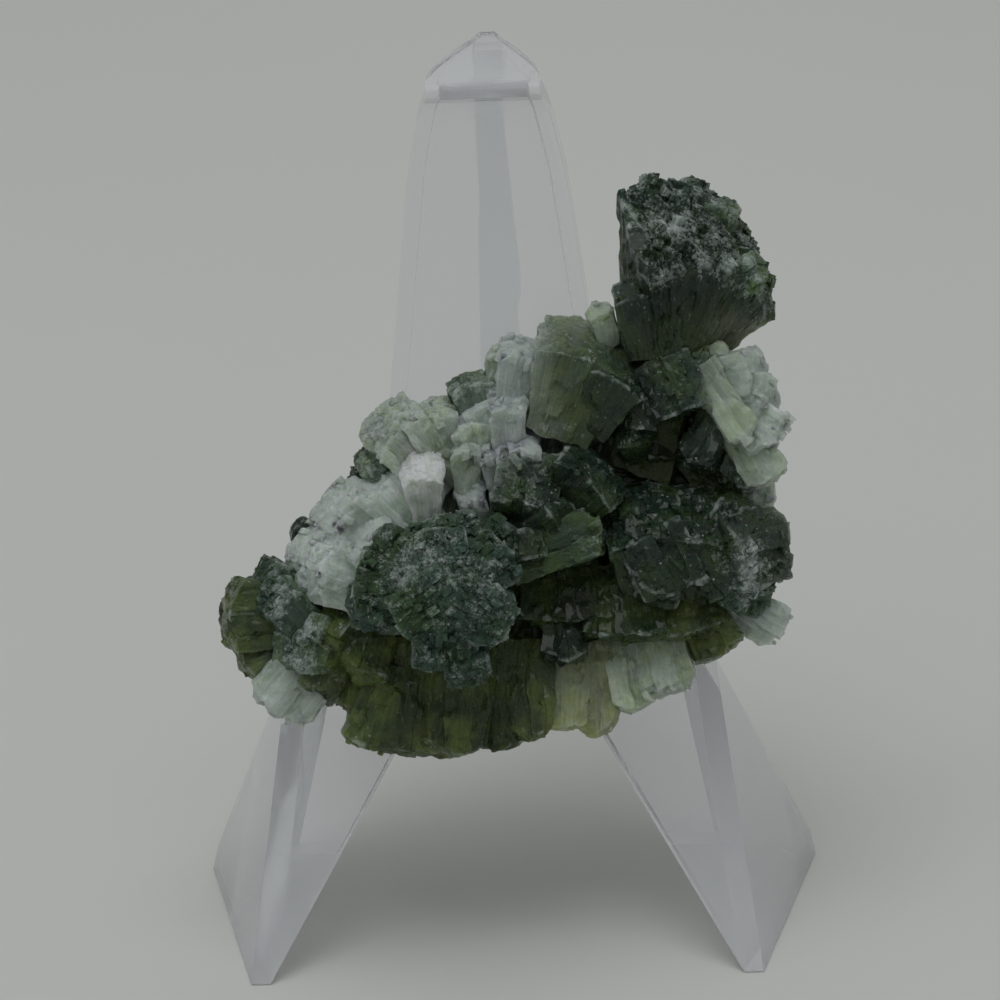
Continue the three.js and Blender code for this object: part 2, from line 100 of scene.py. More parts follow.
# Habits: how a sheaf of each kind is built and finished.
#   book: width of one book of plates, mm    ragged: how broken the crown is, mm
#   round: 0 a square section, 1 an oval     soft: how far the crown falls off at its edge, mm
#   chips: small plates per square mm of crown    blades: how thickly small crystals stand on it
#   tone, inner: colours of the faces and of the body   frost: how much snowy crust the crown has
#   milk: light scattered inside, 0 to 1     gloss: 0 rough to 1 glassy
#   clear: how much lighter its thin edges are painted, painted light standing in for light through them, 0
#       to 1
HABITS = {
    "dark": dict(book=1.2, ragged=0.20, round=0.21, soft=0.14, chips=0.10, blades=0.12,
                 tone="#12261a", inner="#233319", frost=0.10, milk=0.12, gloss=0.80, clear=0.5),
    "crest": dict(book=1.0, ragged=0.42, round=0.3, soft=0.2, chips=0.35, blades=0.6,
                  tone="#102318", inner="#1b2914", frost=0.42, milk=0.10, gloss=0.65, clear=0.3),
    "slate": dict(book=1.2, ragged=0.28, round=0.3, soft=0.18, chips=0.25, blades=0.6,
                  tone="#33493c", inner="#32472c", frost=0.26, milk=0.15, gloss=0.50, clear=0.3),
    "green": dict(book=1.4, ragged=0.22, round=0.21, soft=0.14, chips=0.15, blades=0.15,
                  tone="#435844", inner="#445731", frost=0.34, milk=0.30, gloss=0.60, clear=0.6),
    "olive": dict(book=2.0, ragged=0.22, round=0.36, soft=0.2, chips=0.0, blades=0.06,
                  tone="#374527", inner="#485427", frost=0.10, milk=0.35, gloss=0.70, clear=0.8),
    "deep": dict(book=2.4, ragged=0.24, round=0.3, soft=0.2, chips=0.0, blades=0.05,
                 tone="#203014", inner="#2f3d18", frost=0.03, milk=0.25, gloss=0.75, clear=0.6),
    "glass": dict(book=2.6, ragged=0.05, round=0.36, soft=0.08, chips=0.0, blades=0.02,
                  tone="#3a4832", inner="#434f29", frost=0.10, milk=0.40, gloss=1.00, clear=0.5),
    "pale": dict(book=1.6, ragged=0.22, round=0.27, soft=0.16, chips=0.08, blades=0.12,
                 tone="#b3bfb2", inner="#9fad92", frost=0.42, milk=0.80, gloss=0.65, clear=0.3),
    "milk": dict(book=1.4, ragged=0.24, round=0.27, soft=0.16, chips=0.15, blades=0.12,
                 tone="#ccd6cf", inner="#b8c5ba", frost=0.50, milk=0.90, gloss=0.65, clear=0.2),
    "snow": dict(book=1.3, ragged=0.30, round=0.24, soft=0.12, chips=0.35, blades=0.25,
                 tone="#cbd4d0", inner="#b8c4bd", frost=0.80, milk=0.75, gloss=0.40, clear=0.1),
    "bright": dict(book=0.5, ragged=0.08, round=0.09, soft=0.04, chips=0.0, blades=0.0,
                   tone="#f6faf6", inner="#e6eee5", frost=0.15, milk=0.75, gloss=1.0, clear=0.2),
    "yellow": dict(book=1.8, ragged=0.24, round=0.36, soft=0.2, chips=0.0, blades=0.05,
                   tone="#9da68a", inner="#949d6c", frost=0.20, milk=0.85, gloss=0.60, clear=0.3),
    "amber": dict(book=1.8, ragged=0.12, round=0.36, soft=0.16, chips=0.0, blades=0.05,
                  tone="#957f48", inner="#8a7038", frost=0.05, milk=0.60, gloss=0.55, clear=0.3),
}

# Crystals, as in the solids, but for the knob as one fan and a wider lower row: each is a sheaf of
# plates that spreads from a root to a wider crown.
#   habit, root [x, y, z], middle of the crown [x, y, z], [width at the root, width at the crown],
#   depth of the plates, turn about the sheaf's own axis, how far the crown slopes to the front,
#   and for a wide fan how far its crown falls off to the sides, as a part of its length
CRYSTALS = [
    # mass that the crystals have grown from
    ["deep", [-2, 4.5, -14], [2, 4.5, 7], [13, 11], 7, 0, 0],
    ["olive", [0, 4.5, -8], [-15, 4, -9.5], [10, 7], 6, 0, 0],
    ["deep", [2, 6.5, -6], [17.5, 6.5, -3], [12, 11], 6, 0, 0],
    ["deep", [10, 4.5, 1], [14.6, 3.5, 13], [8, 4.6], 6, 0, 0],

    # knob at the top right, a tulip of dark plates
    ["crest", [12.9, 2.4, 10.3], [16.8, 0.8, 20.4], [4.8, 14.6], 8, 37, 5, 0.2],
    ["dark", [12.4, 0, 10], [11.6, -1.6, 15.7], [4.2, 5.6], 3.6, 0, 0.8],
    ["green", [16.4, 3.5, 18.6], [17.1, 3.5, 22.6], [3.4, 4.6], 4, 0, 1],
    ["green", [18.2, 1.2, 15.6], [20.9, 1.2, 17], [2.8, 3.2], 4, 0, 1],
    ["slate", [12.2, 2, 20.8], [11.3, 2, 23.9], [1.8, 2.2], 4, 0, 0.6],
    ["green", [10.4, 3.5, 20.2], [9, 3.6, 21.8], [1, 1.1], 1.6, 0, 0],
    ["pale", [8.8, 1.5, 10.8], [8, 0.8, 13.8], [1.6, 2.2], 2.4, 0, 0.4],
    ["pale", [9.5, 5.5, 10.5], [4.9, 6.6, 13.8], [2.4, 2], 3, 0, 0],
    ["amber", [15, 3, 9.6], [16.9, 3, 11.2], [1.8, 1.8], 2.2, 0, 0],

    # glassy barrel below the knob
    ["glass", [4.6, 1, 3.6], [7.4, 0.2, 11.2], [5.6, 8.6], 7, 0, 2.6],
    ["dark", [7.2, 0.5, 4.2], [10.2, -0.5, 9], [3.2, 4.6], 6, 0, 1.6],

    # snowy ridge and the green lumps left of it
    ["snow", [1, 1.5, 5.6], [1.5, 0.6, 10.8], [2.8, 3], 5, 0, 1],
    ["snow", [0.8, 0.4, 2.8], [0.5, -0.8, 6.8], [2.6, 3], 4, 0, 1],
    ["snow", [1.6, 0.2, -0.4], [1.3, -1.4, 3.4], [2.6, 3.6], 4, 0, 1],
    ["snow", [0.2, 0.5, -0.4], [-0.6, -0.6, 2.6], [2.2, 2.6], 3, 0, 0.6],
    ["green", [-0.8, 3, 3.6], [-2.6, 2.5, 8.2], [3.2, 3.6], 5, 0, 0.8],
    ["pale", [0.4, 3, 5.8], [0.5, 2.5, 10.8], [2.8, 3.2], 4, 0, 0.5],
    ["snow", [-0.6, 2, 3], [-1.7, 1, 6.7], [2.6, 3.2], 4, 0, 1],
    ["pale", [-4.4, 3, -0.4], [-9.2, 1.6, 4.9], [4, 5.4], 7, 0, 1.6],
    ["pale", [-3.4, 3, 0.4], [-5.8, 2, 5.7], [3.2, 4], 6, 0, 1.2],
    ["pale", [-1.4, 2.5, 0.4], [-2.5, 1.4, 5.6], [3.2, 3.6], 5, 0, 1],
    ["green", [-6.2, 4, -2], [-10.6, 3, 2.2], [3.6, 3.4], 5, 0, 0.8],

    # small bright fan and blocks beside it
    ["bright", [-5.8, 0.2, -3.6], [-6.2, -2, 1.2], [1.8, 3.4], 3, 0, 1.4],
    ["pale", [-2.6, 0.8, -1.2], [-2.7, -0.4, 3.2], [2.4, 2.6], 3.4, 0, 0.4],
    ["snow", [-2, 0.6, -3], [-2.4, -1.2, -0.6], [2.2, 2.4], 3, 0, 1],

    # pale mass on the left
    ["milk", [-7.6, 2.4, -6.6], [-13.2, 0.8, -2], [4.4, 6], 7, 0, 1.5],
    ["milk", [-8.4, 2.2, -9], [-15.6, 0.3, -6.4], [4.4, 6], 7, 0, 2],
    ["milk", [-5.2, 2.6, -5], [-10, 1.6, 0], [4, 5], 6, 0, 1],
    ["milk", [-7.6, 0, -8.4], [-11.2, -2, -4], [3.4, 4.6], 4, 0, 1.5],
    ["dark", [-8.8, 5.2, -3.4], [-11.8, 5.2, 0.8], [1.8, 1.8], 3, 0, 0],
    ["dark", [-13, 5, -6.8], [-16.6, 5, -3.6], [2.2, 2.2], 3, 0, 0],

    # dark lump at the far left, with its clear lower half
    ["olive", [-14, 4, -11], [-22.4, 4.2, -11], [5, 6], 7, 0, 1.5],
    ["slate", [-14.6, 3.8, -10.6], [-19.5, 3.8, -7.9], [4, 4.2], 6, 0, 1.5],
    ["olive", [-14.6, 3.6, -11.6], [-21, 3.8, -14.6], [4, 4.4], 5, 0, 0.8],
    ["milk", [-12.6, 2, -12], [-18.2, 1.8, -18.6], [4.4, 5.6], 3.6, 0, 0],

    # crusted lumps and the olive disc
    ["slate", [-14.6, 2, -12.6], [-18.2, 0, -9], [3.6, 3.6], 4, 0, 1],
    ["green", [-13, 2.2, -13.4], [-16.3, -0.6, -12.8], [4, 5], 4, 0, 1.5],
    ["olive", [-12, 2.4, -13.6], [-14.2, -1, -12.2], [3.4, 4.6], 3.4, 0, 0],
    ["olive", [-12.4, 2, -13.2], [-15, 1.4, -17.2], [3.8, 3.8], 4, 0, 0.5],
    ["olive", [-10, 1.6, -12.4], [-11.5, 0.2, -16], [3.8, 4.2], 4, 0, 0.6],
    ["olive", [-10, 3, -9], [-11.2, 2.2, -18.6], [5, 6], 3, 0, 0],
    ["olive", [-8.4, 1.8, -15], [-10.4, 1.4, -21.5], [4.4, 5.2], 4.2, 0, 0],

    # lump that stands out to the front, its ragged crowns facing forward
    ["slate", [-4, 0, -8], [-4.8, -4.6, -4.6], [6, 7], 4, 0, 1],
    ["slate", [-1.6, 0, -6.4], [-0.2, -5, -5.2], [4, 4.5], 4, 0, 1],
    ["slate", [-4.8, 0, -8.6], [-8.4, -7.4, -6.4], [4, 5.2], 5.4, 0, 0],
    ["slate", [-4.4, 0, -8.4], [-4.9, -8.6, -6.2], [4, 5.2], 5, 0, 0],
    ["slate", [-3, 0, -8.4], [-1.2, -8, -6.9], [4, 4.8], 5, 0, 0],
    ["slate", [-5.2, 0, -9.2], [-9.4, -8.2, -9.6], [4, 5], 5, 0, 0],
    ["slate", [-4.6, 0, -9.4], [-5.6, -10.4, -10.1], [4.6, 5.6], 5.4, 0, 0],
    ["slate", [-3.4, 0, -9.4], [-1.3, -9.8, -10.5], [4.4, 5], 5, 0, 0],
    ["slate", [-4.2, 0, -10], [-4.3, -9.2, -13.2], [4.2, 5.2], 4.4, 0, 0],
    ["slate", [-3.4, -4, -11], [-2.5, -7.6, -15.6], [3.6, 3.6], 3.4, 0, 0],
    ["slate", [-6, -2.4, -9.4], [-11.5, -6.2, -10], [4, 3.8], 3, 0, 0],

    # dark fans in the middle
    ["dark", [1.6, 1, -3.4], [2.4, -3.4, 0.4], [4.2, 5.4], 5, 0, 1],
    ["dark", [3.8, 1.5, -3.4], [7.8, -2.8, 0.8], [3.6, 6], 4, 0, 0],
    ["green", [0.8, -2.4, -6.8], [8, -3.2, -3.8], [3.2, 4], 3.4, 0, 0],
    ["dark", [2.4, 0, -6.2], [2.2, -5.2, -5], [2.2, 2.6], 2.4, 0, 0],
    ["dark", [1.6, -1, -4.2], [4.8, -4, -2.2], [2, 2.8], 3, 0, 0],

    # cavity at the right with slabs standing in it
    ["deep", [12.8, 6, 6.6], [12.3, 3.6, 0.8], [4, 5], 5, 0, 0],
    ["dark", [18, 2, 6], [15.6, 0.6, 0.8], [2.6, 3.2], 3.5, 20, 0],
    ["dark", [20.4, 2.5, 4.4], [18.9, 1.6, -0.8], [2.6, 3.4], 3, 0, 0],
    ["deep", [15.6, 5, 3.4], [19.6, 4, -1.6], [5, 5.4], 4.6, 0, 0],
    ["dark", [14, 4, 6.6], [13.6, -2.2, 7.6], [4.4, 5], 4.6, 0, 0],
    ["dark", [11.2, 3, 4.2], [11.2, -1.8, 5.6], [2.6, 2.8], 3, 0, 0],
    ["green", [14.4, 3, 7.8], [14.7, -0.5, 10], [5.2, 5.6], 3, 0, 0.6],
    ["dark", [11.2, 3, 2.2], [10.2, -1.5, 4.4], [2.2, 2.6], 3, 0, 0],

    # pale slab that hangs down the right side
    ["milk", [16.6, 1.6, 7.8], [20.6, 0, 9], [3.4, 3.6], 3.4, 0, 0.6],
    ["milk", [17, 1.6, 7.2], [21.6, 0, 6], [3.6, 4.4], 3.4, 0, 0.6],
    ["milk", [17.8, 1.5, 6.6], [22.2, 0.3, 3], [3.6, 4.6], 3.2, 0, 0],
    ["pale", [18.6, 1.5, 4.8], [21.6, 0.8, -0.1], [3.2, 3.8], 3, 0, 0],
    ["pale", [16, 0, 9], [19.8, -0.8, 3.2], [2.8, 2.8], 2.2, 0, 0],
    ["pale", [15.8, 2, 8.6], [18.5, 1.2, 9.9], [3, 3], 3, 0, 0],
    ["milk", [17.6, 4.4, 0.4], [21.9, 5, -1.6], [3.2, 2.8], 2.6, 0, 0],

    # rounded dark cluster at the right
    ["dark", [12.6, 3, -9.6], [11.2, -1.5, -2.4], [5, 6.4], 6, 0, 1.5],
    ["dark", [15.2, 3, -9.6], [15.9, -1, -2.7], [4.6, 6], 6, 0, 1.5],
    ["dark", [12.8, 2, -6.2], [13, -3.4, -6.6], [4, 5.6], 5, 0, 0],
    ["dark", [13.2, -0.5, -6.2], [12.4, -2, -9.6], [3, 3.4], 3, 0, 0],
    ["dark", [16.4, 2, -6.6], [21.2, -0.8, -5.2], [4.8, 6.4], 6, 0, 1.5],
    ["slate", [16.4, 1.5, -7], [20.8, -0.6, -8.8], [4.2, 5], 5, 0, 0.6],
    ["dark", [17.2, 2, -6], [19.2, -0.8, -3.2], [3.8, 4.4], 5, 0, 1],
    ["dark", [16.8, 2, -6.2], [17.1, -2.7, -6.6], [4, 5], 5, 0, 0],

    # olive underside, receding
    ["deep", [4.8, 3, -6], [4.8, 1, -11.8], [6.4, 7], 5, 0, -1],
    ["deep", [9.8, 3, -7.6], [10, 1, -13], [6.4, 7], 6, 0, -1],
    ["olive", [14.4, 3, -8], [15.2, 1.4, -12.6], [6, 6], 5, 0, -1],
    ["dark", [4.8, 1.6, -10], [5.2, 0.4, -14.8], [3.2, 3.6], 3.4, 0, 0],
    ["milk", [17.6, 3, -9], [22.6, 3.3, -12.2], [3.6, 3.8], 4, 0, 0],
    ["pale", [12, 3, -11.6], [13.6, 1.8, -17], [4.6, 5], 4, 0, 0],
    ["olive", [15.6, 3, -10], [18, 2.8, -14], [4.2, 4.6], 4, 0, 0],
    ["pale", [9.6, 2.6, -12.2], [11, 1.6, -18.4], [3.6, 3.6], 3.6, 0, 0],
    ["yellow", [7.2, 2.4, -13], [8, 2, -20.5], [5.4, 3.2], 3.4, 8, 0],
    ["yellow", [4.8, 2, -13], [4.6, 2, -20.2], [6, 4.4], 3.4, -8, 0],
    ["yellow", [7.6, 2.4, -13.6], [9.2, 2.2, -18.2], [4.6, 3.2], 3, 0, 0],
    ["olive", [-5.8, 2, -13], [-7.2, 1.3, -22], [6, 5.4], 4.2, 10, 0],
    ["olive", [-3.2, 1.4, -12.4], [-3.9, 0.1, -22.2], [6.4, 4.6], 4.4, -14, 0],
    ["deep", [0, 1.2, -12.4], [-0.6, 1.7, -21.6], [6, 4.4], 4, 16, 0],
    ["olive", [1.8, 1.6, -13], [2.5, 0.6, -20.6], [5, 3.6], 3.6, -12, 0],

    # back: fans that bear on the plate and, lower down, on the ledge
    ["green", [-6, 5, -6], [-7.5, 10.6, -3.4], [6, 7], 6, 0, 0],
    ["pale", [-10, 5, -8], [-14.4, 8.6, -6.4], [5, 6], 6, 0, 0],
    ["dark", [0, 5, 0], [-0.6, 11.2, 3.4], [6, 7], 6, 0, 0],
    ["dark", [2, 5, -5], [3.4, 11.9, -4.4], [6, 7], 7, 0, 0],
    ["green", [8, 6, -2], [10.4, 11, 0.6], [6, 6.4], 6, 0, 0],
    ["dark", [12, 6, -6], [16.2, 9.6, -7.6], [6, 6], 6, 0, 0],
    ["olive", [-7, 6, -8.4], [-8.2, 10.4, -12.6], [6, 6.4], 6, 0, 0],
    ["olive", [7.6, 6, -8.4], [8.6, 10.4, -12.4], [6, 6.4], 6, 0, 0],
    ["slate", [0.2, 6, -8], [0.4, 11.6, -11.4], [6, 6], 6, 0, 0],
    ["green", [10.6, 4.6, 4], [12, 8.6, 8], [5, 5.4], 5, 0, 0],
    ["dark", [15.4, 5, 3], [18.8, 6.4, 4.8], [4, 4.4], 4, 0, 0],
    ["dark", [13.8, 3.6, 13], [14.6, 5.4, 18.4], [3.4, 5.4], 4, 0, 0],
]

# Where pale crust lies thickest: middle of the patch, how far it reaches (mm) and how thick it is.
CRUST = [
    [[14.1, -2.6, 21.1], 1.3, 0.9],       # on the knob
    [[19.8, -2.0, 17.0], 1.6, 0.25],
    [[21.0, -3.6, -6.2], 2.4, 0.85],      # on the right end of the dark cluster
    [[20.4, -3.0, -9.0], 1.6, 0.50],
    [[-16.2, -2.6, -11.8], 2.2, 0.50],    # down the lumps at the left
    [[-17.6, -1.6, -8.6], 1.5, 0.40],
    [[-16.0, -2.0, -15.4], 1.4, 0.40],
    [[-6.4, -8.6, -6.2], 2.2, 0.30],      # on the lump that stands out to the front
    [[-1.2, -8.6, -9.0], 2.0, 0.25],
    [[2.2, -4.8, -2.6], 1.6, 0.30],       # between the dark fans
]

CROWN_ARC = 0.09                          # crowns fall off to their sides, as parts of the length
FULLER = 1.02                             # makes up for the corners that the rounded sections lose
GRID_ACROSS = 0.34                        # spacing of the relief over a crown, mm
GRID_DEEP = 0.4
LONGEST_EDGE = 0.72                       # longer edges are split before the surface is roughened, mm
BROAD_WANDER = 0.2                        # how far the surface wanders over some mm, mm
FINE_WANDER = 0.06                        # and over half a mm
FACET_WANDER = 0.3                        # and how strongly small planes break it up, as a factor
STONE_SMOOTH = math.radians(11)           # sharper angles than this stay sharp
CROWN_EDGE = 0.4                          # first ring of a sheaf below its crown, mm
LOWER_RINGS = (0.74, 0.5, 0.25, 0)        # its other rings, as parts of its length
NOISE_SEED = 17                           # noise vectors differ from run to run unless they have a seed
BLADES = 2000                             # small crystals that stand out of the crowns
MINGLE = 0.32                             # how far the colours of crystals that meet run together
MINGLE_REACH = 1.5                        # and over what distance, mm

# The easel where the cluster bears on it, mm: ledge, and the outline of the back plate as
# [height, half width]; its front face starts at BACK_START and leans back.
LEDGE_TOP = 20.5
LEDGE_FRONT = 15.6
BACK_START = 24.6
BACK_LEAN = 0.2155
BACK_OUTLINE = [[20.5, 14.8], [25, 12], [31, 9.8], [39, 8.6], [48, 7.5], [56, 6.5], [61, 5.4], [62.8, 4.7]]
BEARING_GAP = 0.3
LEDGE_HALF = 18.4                         # half widths of the rooms that are kept free for the easel
FEET_HALF = 26.2
LEDGE_DEPTH = 3
ROOM_END = 60                             # how far back the rooms run
BLADE_ROOM = 1.4                          # small crystals keep this far off the plate and the ledge
BLADE_ROOM_ABOVE = 1.2                    # and this far above the ledge

# The easel's edges as a mould leaves them.
EASEL_WELD = 0.01                         # corners nearer than this are one, mm
EASEL_EDGE = 0.22                         # width of the softened edge, mm
EASEL_SHARP = math.radians(28)            # only sharper edges are softened
EASEL_SMOOTH = math.radians(24)
EASEL_FLAT = math.radians(1)              # faces nearer to one plane than this are one face


# Small helpers

def linear(hex_colour):
    """An sRGB hex colour as the linear values that Blender works in."""
    parts = [int(hex_colour[i:i + 2], 16) / 255 for i in (1, 3, 5)]
    return [p / 12.92 if p <= 0.04045 else ((p + 0.055) / 1.055) ** 2.4 for p in parts]


def deselect():
    for thing in bpy.context.selected_objects:
        thing.select_set(False)


def make_active(thing):
    deselect()
    thing.select_set(True)
    bpy.context.view_layer.objects.active = thing


# Camera, light and floor

def place_camera():
    """Puts the camera in front of the showing side and aims it just below the cluster's middle."""
    data = bpy.data.cameras.new("photo_camera")
    data.sensor_width = SENSOR
    data.lens = SENSOR * CAMERA_DISTANCE / FRAME_WIDTH
    data.clip_start = 0.01
    data.clip_end = 20
    camera = bpy.data.objects.new("photo_camera", data)
    bpy.context.scene.collection.objects.link(camera)
    right, away, up = (SHOWING.to_3x3().col[i].normalized() for i in range(3))
    target = SHOWING @ Vector((0, 0, -AIM_BELOW))
    camera.rotation_euler = Matrix((right, up, -away)).transposed().to_euler()
    camera.location = target - away * CAMERA_DISTANCE
    bpy.context.scene.camera = camera


def soft_light(name, place, aim, width, power, colour="#ffffff"):
    data = bpy.data.lights.new(name, "AREA")
    data.shape = "SQUARE"
    data.size = width
    data.energy = power
    data.color = linear(colour)
    light = bpy.data.objects.new(name, data)
    light.location = place
    light.rotation_euler = (Vector(aim) - Vector(place)).to_track_quat("-Z", "Y").to_euler()
    bpy.context.scene.collection.objects.link(light)


def light_the_table():
    """One soft box above the table, a weaker one at the left, and a pale room that is brighter overhead."""
    middle = (0, 0, 0.03)
    soft_light("overhead", (-0.03, -0.05, 0.62), middle, 0.42, 0.95, "#fbfdff")
    soft_light("left_window", (-0.60, -0.10, 0.42), middle, 0.2, 0.1, "#f6f9ff")
    world = bpy.data.worlds.new("studio")
    world.use_nodes = True
    surround = world.node_tree.nodes["Background"]
    surround.inputs["Color"].default_value = (*linear("#eceeee"), 1)
    direction = add(world.node_tree, "ShaderNodeTexCoord").outputs["Generated"]
    upward = add(world.node_tree, "ShaderNodeSeparateXYZ", {0: direction}).outputs[2]
    strength = add(world.node_tree, "ShaderNodeMapRange", {0: upward, 3: STUDIO_LOW, 4: STUDIO_HIGH})
    world.node_tree.links.new(strength.outputs[0], surround.inputs["Strength"])
    bpy.context.scene.world = world
    bpy.context.scene.view_settings.view_transform = "Standard"


def table_floor(material):
    deselect()
    bpy.ops.mesh.primitive_plane_add(size=4, location=(0, 0, -0.1 * MM))
    floor = bpy.context.object
    floor.name = "table_floor"
    floor.data.materials.append(material)


# Materials

def add(tree, kind, sockets=None, **settings):
    """Adds a node with its settings; a socket's value is a number, a colour or another node's output."""
    new = tree.nodes.new(kind)
    for key, value in settings.items():
        setattr(new, key, value)
    for key, value in (sockets or {}).items():
        if isinstance(value, bpy.types.NodeSocket):
            tree.links.new(value, new.inputs[key])
        else:
            new.inputs[key].default_value = value
    return new


def new_material(name):
    material = bpy.data.materials.new(name)
    material.use_nodes = True
    tree = material.node_tree
    return material, tree, tree.nodes["Principled BSDF"]


def painted_table():
    """Matt pale table paint: an even grey with the faintest cloudiness."""
    material, tree, skin = new_material("painted_table")
    place = add(tree, "ShaderNodeTexCoord").outputs["Object"]
    cloud = add(tree, "ShaderNodeTexNoise", {"Vector": place, "Scale": 9.0, "Detail": 3.0}).outputs[0]
    colour = add(tree, "ShaderNodeMix", {0: cloud, 6: (*linear("#dadbd6"), 1), 7: (*linear("#dedfdb"), 1)},
                 data_type="RGBA").outputs[2]
    tree.links.new(colour, skin.inputs["Base Color"])
    skin.inputs["Roughness"].default_value = 0.65
    skin.inputs["Specular IOR Level"].default_value = 0.2
    return material


def grown_prehnite():
    """Prehnite as it grew: glassy plate faces with fine growth lines, milky where it is pale, and
    crowns that end in steps under a snowy crust. Painted light: glittering glints, pale broken lines along
    the crowns' edges, lighter thin edges, facets painted lighter or darker, and partly painted shade
    towards the roots."""
    material, tree, skin = new_material("grown_prehnite")

    def scaled(low, high, out_low, out_high, value):
        span = {0: value, 1: low, 2: high, 3: out_low, 4: out_high}
        return add(tree, "ShaderNodeMapRange", span).outputs[0]

    def maths(operation, first, second, clamp=False):
        sockets = {0: first, 1: second}
        return add(tree, "ShaderNodeMath", sockets, operation=operation, use_clamp=clamp).outputs[0]

    def cloud(vector, size, detail, roughness=0.55):
        """Noise whose patches are about as wide as size, in the vector's own unit."""
        return add(tree, "ShaderNodeTexNoise", {"Vector": vector, "Scale": 1 / size, "Detail": detail,
                                                "Roughness": roughness}).outputs[0]

    def tint(share, first, second):
        return add(tree, "ShaderNodeMix", {0: share, 6: first, 7: second}, data_type="RGBA").outputs[2]

    place = add(tree, "ShaderNodeTexCoord").outputs["Object"]
    tone = add(tree, "ShaderNodeAttribute", attribute_name="tone").outputs["Color"]
    inner = add(tree, "ShaderNodeAttribute", attribute_name="inner").outputs["Color"]
    finish = add(tree, "ShaderNodeAttribute", attribute_name="finish").outputs["Color"]
    frost, milk, gloss = add(tree, "ShaderNodeSeparateColor", {0: finish}).outputs
    grain = add(tree, "ShaderNodeAttribute", attribute_name="grain").outputs["Vector"]
    rim = add(tree, "ShaderNodeAttribute", attribute_name="rim").outputs["Vector"]
    from_side, from_front, from_crown = add(tree, "ShaderNodeSeparateXYZ", {0: rim}).outputs
    clear = add(tree, "ShaderNodeAttribute", attribute_name="clear").outputs["Fac"]

    # growth lines run from root to crown, 0.1 to 0.2 mm apart, and drift over some millimetres
    stretched = add(tree, "ShaderNodeMapping", {"Vector": grain, "Scale": (1, 1, 0.05)}).outputs[0]
    lines = cloud(stretched, 0.17, 3, 0.65)
    broad_lines = cloud(stretched, 0.8, 2)
    clouds = cloud(place, 2.6 * MM, 3)
    patches = cloud(place, 1.2 * MM, 4, 0.62)
    crumbs = cloud(place, 0.3 * MM, 4, 0.75)
    grit = cloud(place, 0.14 * MM, 3, 0.7)

    # small crystal ends, 0.3 to 0.5 mm: each is tilted its own way, and near the crowns each is also
    # painted lighter or darker, painted light and shade on its facet
    ends = add(tree, "ShaderNodeTexVoronoi", {"Vector": place, "Scale": 1 / (0.4 * MM)})
    painted_facet_light, end_pick = add(tree, "ShaderNodeSeparateColor", {0: ends.outputs["Color"]}).outputs[:2]
    near_crown = scaled(0.2, 1.8, 1, 0.25, from_crown)

    # body: the inner colour shows through in clouds, the growth lines darken and lighten it
    body = tint(scaled(0.42, 0.6, 0, 1, clouds), tone, inner)
    # towards the root every crystal runs into the darker green mass that it has grown from; the darkening
    # down among the crystals is partly painted shade
    root_green_and_shade = maths("MULTIPLY", scaled(1.5, 6.0, 0, 0.45, from_crown), scaled(0.5, 0.9, 1, 0.3, milk))
    body = tint(root_green_and_shade, body, (*linear("#3c4a24"), 1))
    contrast = maths("SUBTRACT", 0.95, maths("MULTIPLY", milk, 0.85))
    ridges = scaled(0.5, 0.72, 0, 0.9, lines)
    streaks = maths("ADD", maths("ADD", scaled(0.3, 0.5, -0.35, 0, lines), ridges),
                    scaled(0.3, 0.7, -0.3, 0.35, broad_lines))
    # painted light and shade: near the crowns each small end is painted lighter or darker, as if it caught
    # the light its own way
    painted_facet_shade = maths("MULTIPLY", scaled(0, 1, -0.45, 0.6, painted_facet_light), near_crown)
    shade = maths("ADD", maths("MULTIPLY", maths("ADD", streaks, painted_facet_shade), contrast), 1.0)
    # painted light: thin edges are painted lighter than the deep body, standing in for light that passes
    # through them
    thin = maths("MINIMUM", maths("MINIMUM", from_side, from_front), from_crown)
    painted_glow_share = maths("MULTIPLY", clear, scaled(0.35, 0.6, 0.2, 1, clouds))
    painted_edge_glow = maths("MULTIPLY", scaled(0.0, 1.2, 1.0, 0, thin), painted_glow_share)
    # the growth lines, the painted facet light and shade and the painted edge glow together scale the
    # body's colour
    light = maths("MAXIMUM", maths("ADD", shade, painted_edge_glow), 0.25)
    lined = add(tree, "ShaderNodeVectorMath", {0: body, "Scale": light}, operation="SCALE").outputs[0]

    # frost lies on the crowns in patches and breaks up into crumbs; it thins out down the sides
    crown = scaled(0.2, 2.2, 1.0, 0.1, from_crown)
    reach = maths("MULTIPLY", crown, frost)
    over = maths("ADD", maths("ADD", patches, maths("MULTIPLY", maths("ADD", crumbs, grit), 0.5)),
                 maths("MULTIPLY", reach, 0.62))
    crust = scaled(1.22, 1.5, 0, 1, over)

    # painted highlight: a thin pale line where the crown meets the sides, as if the edge caught the light,
    # gone in places
    edge = maths("MAXIMUM", maths("MINIMUM", from_side, from_front), from_crown)
    uneven = scaled(0.3, 0.7, -0.12, 0.25, crumbs)
    line = scaled(0.1, 0.3, 1, 0, maths("ADD", maths("ABSOLUTE", edge, 0), uneven))
    painted_edge_highlight = maths("MULTIPLY", line, scaled(0.4, 0.55, 0, 0.6, patches))

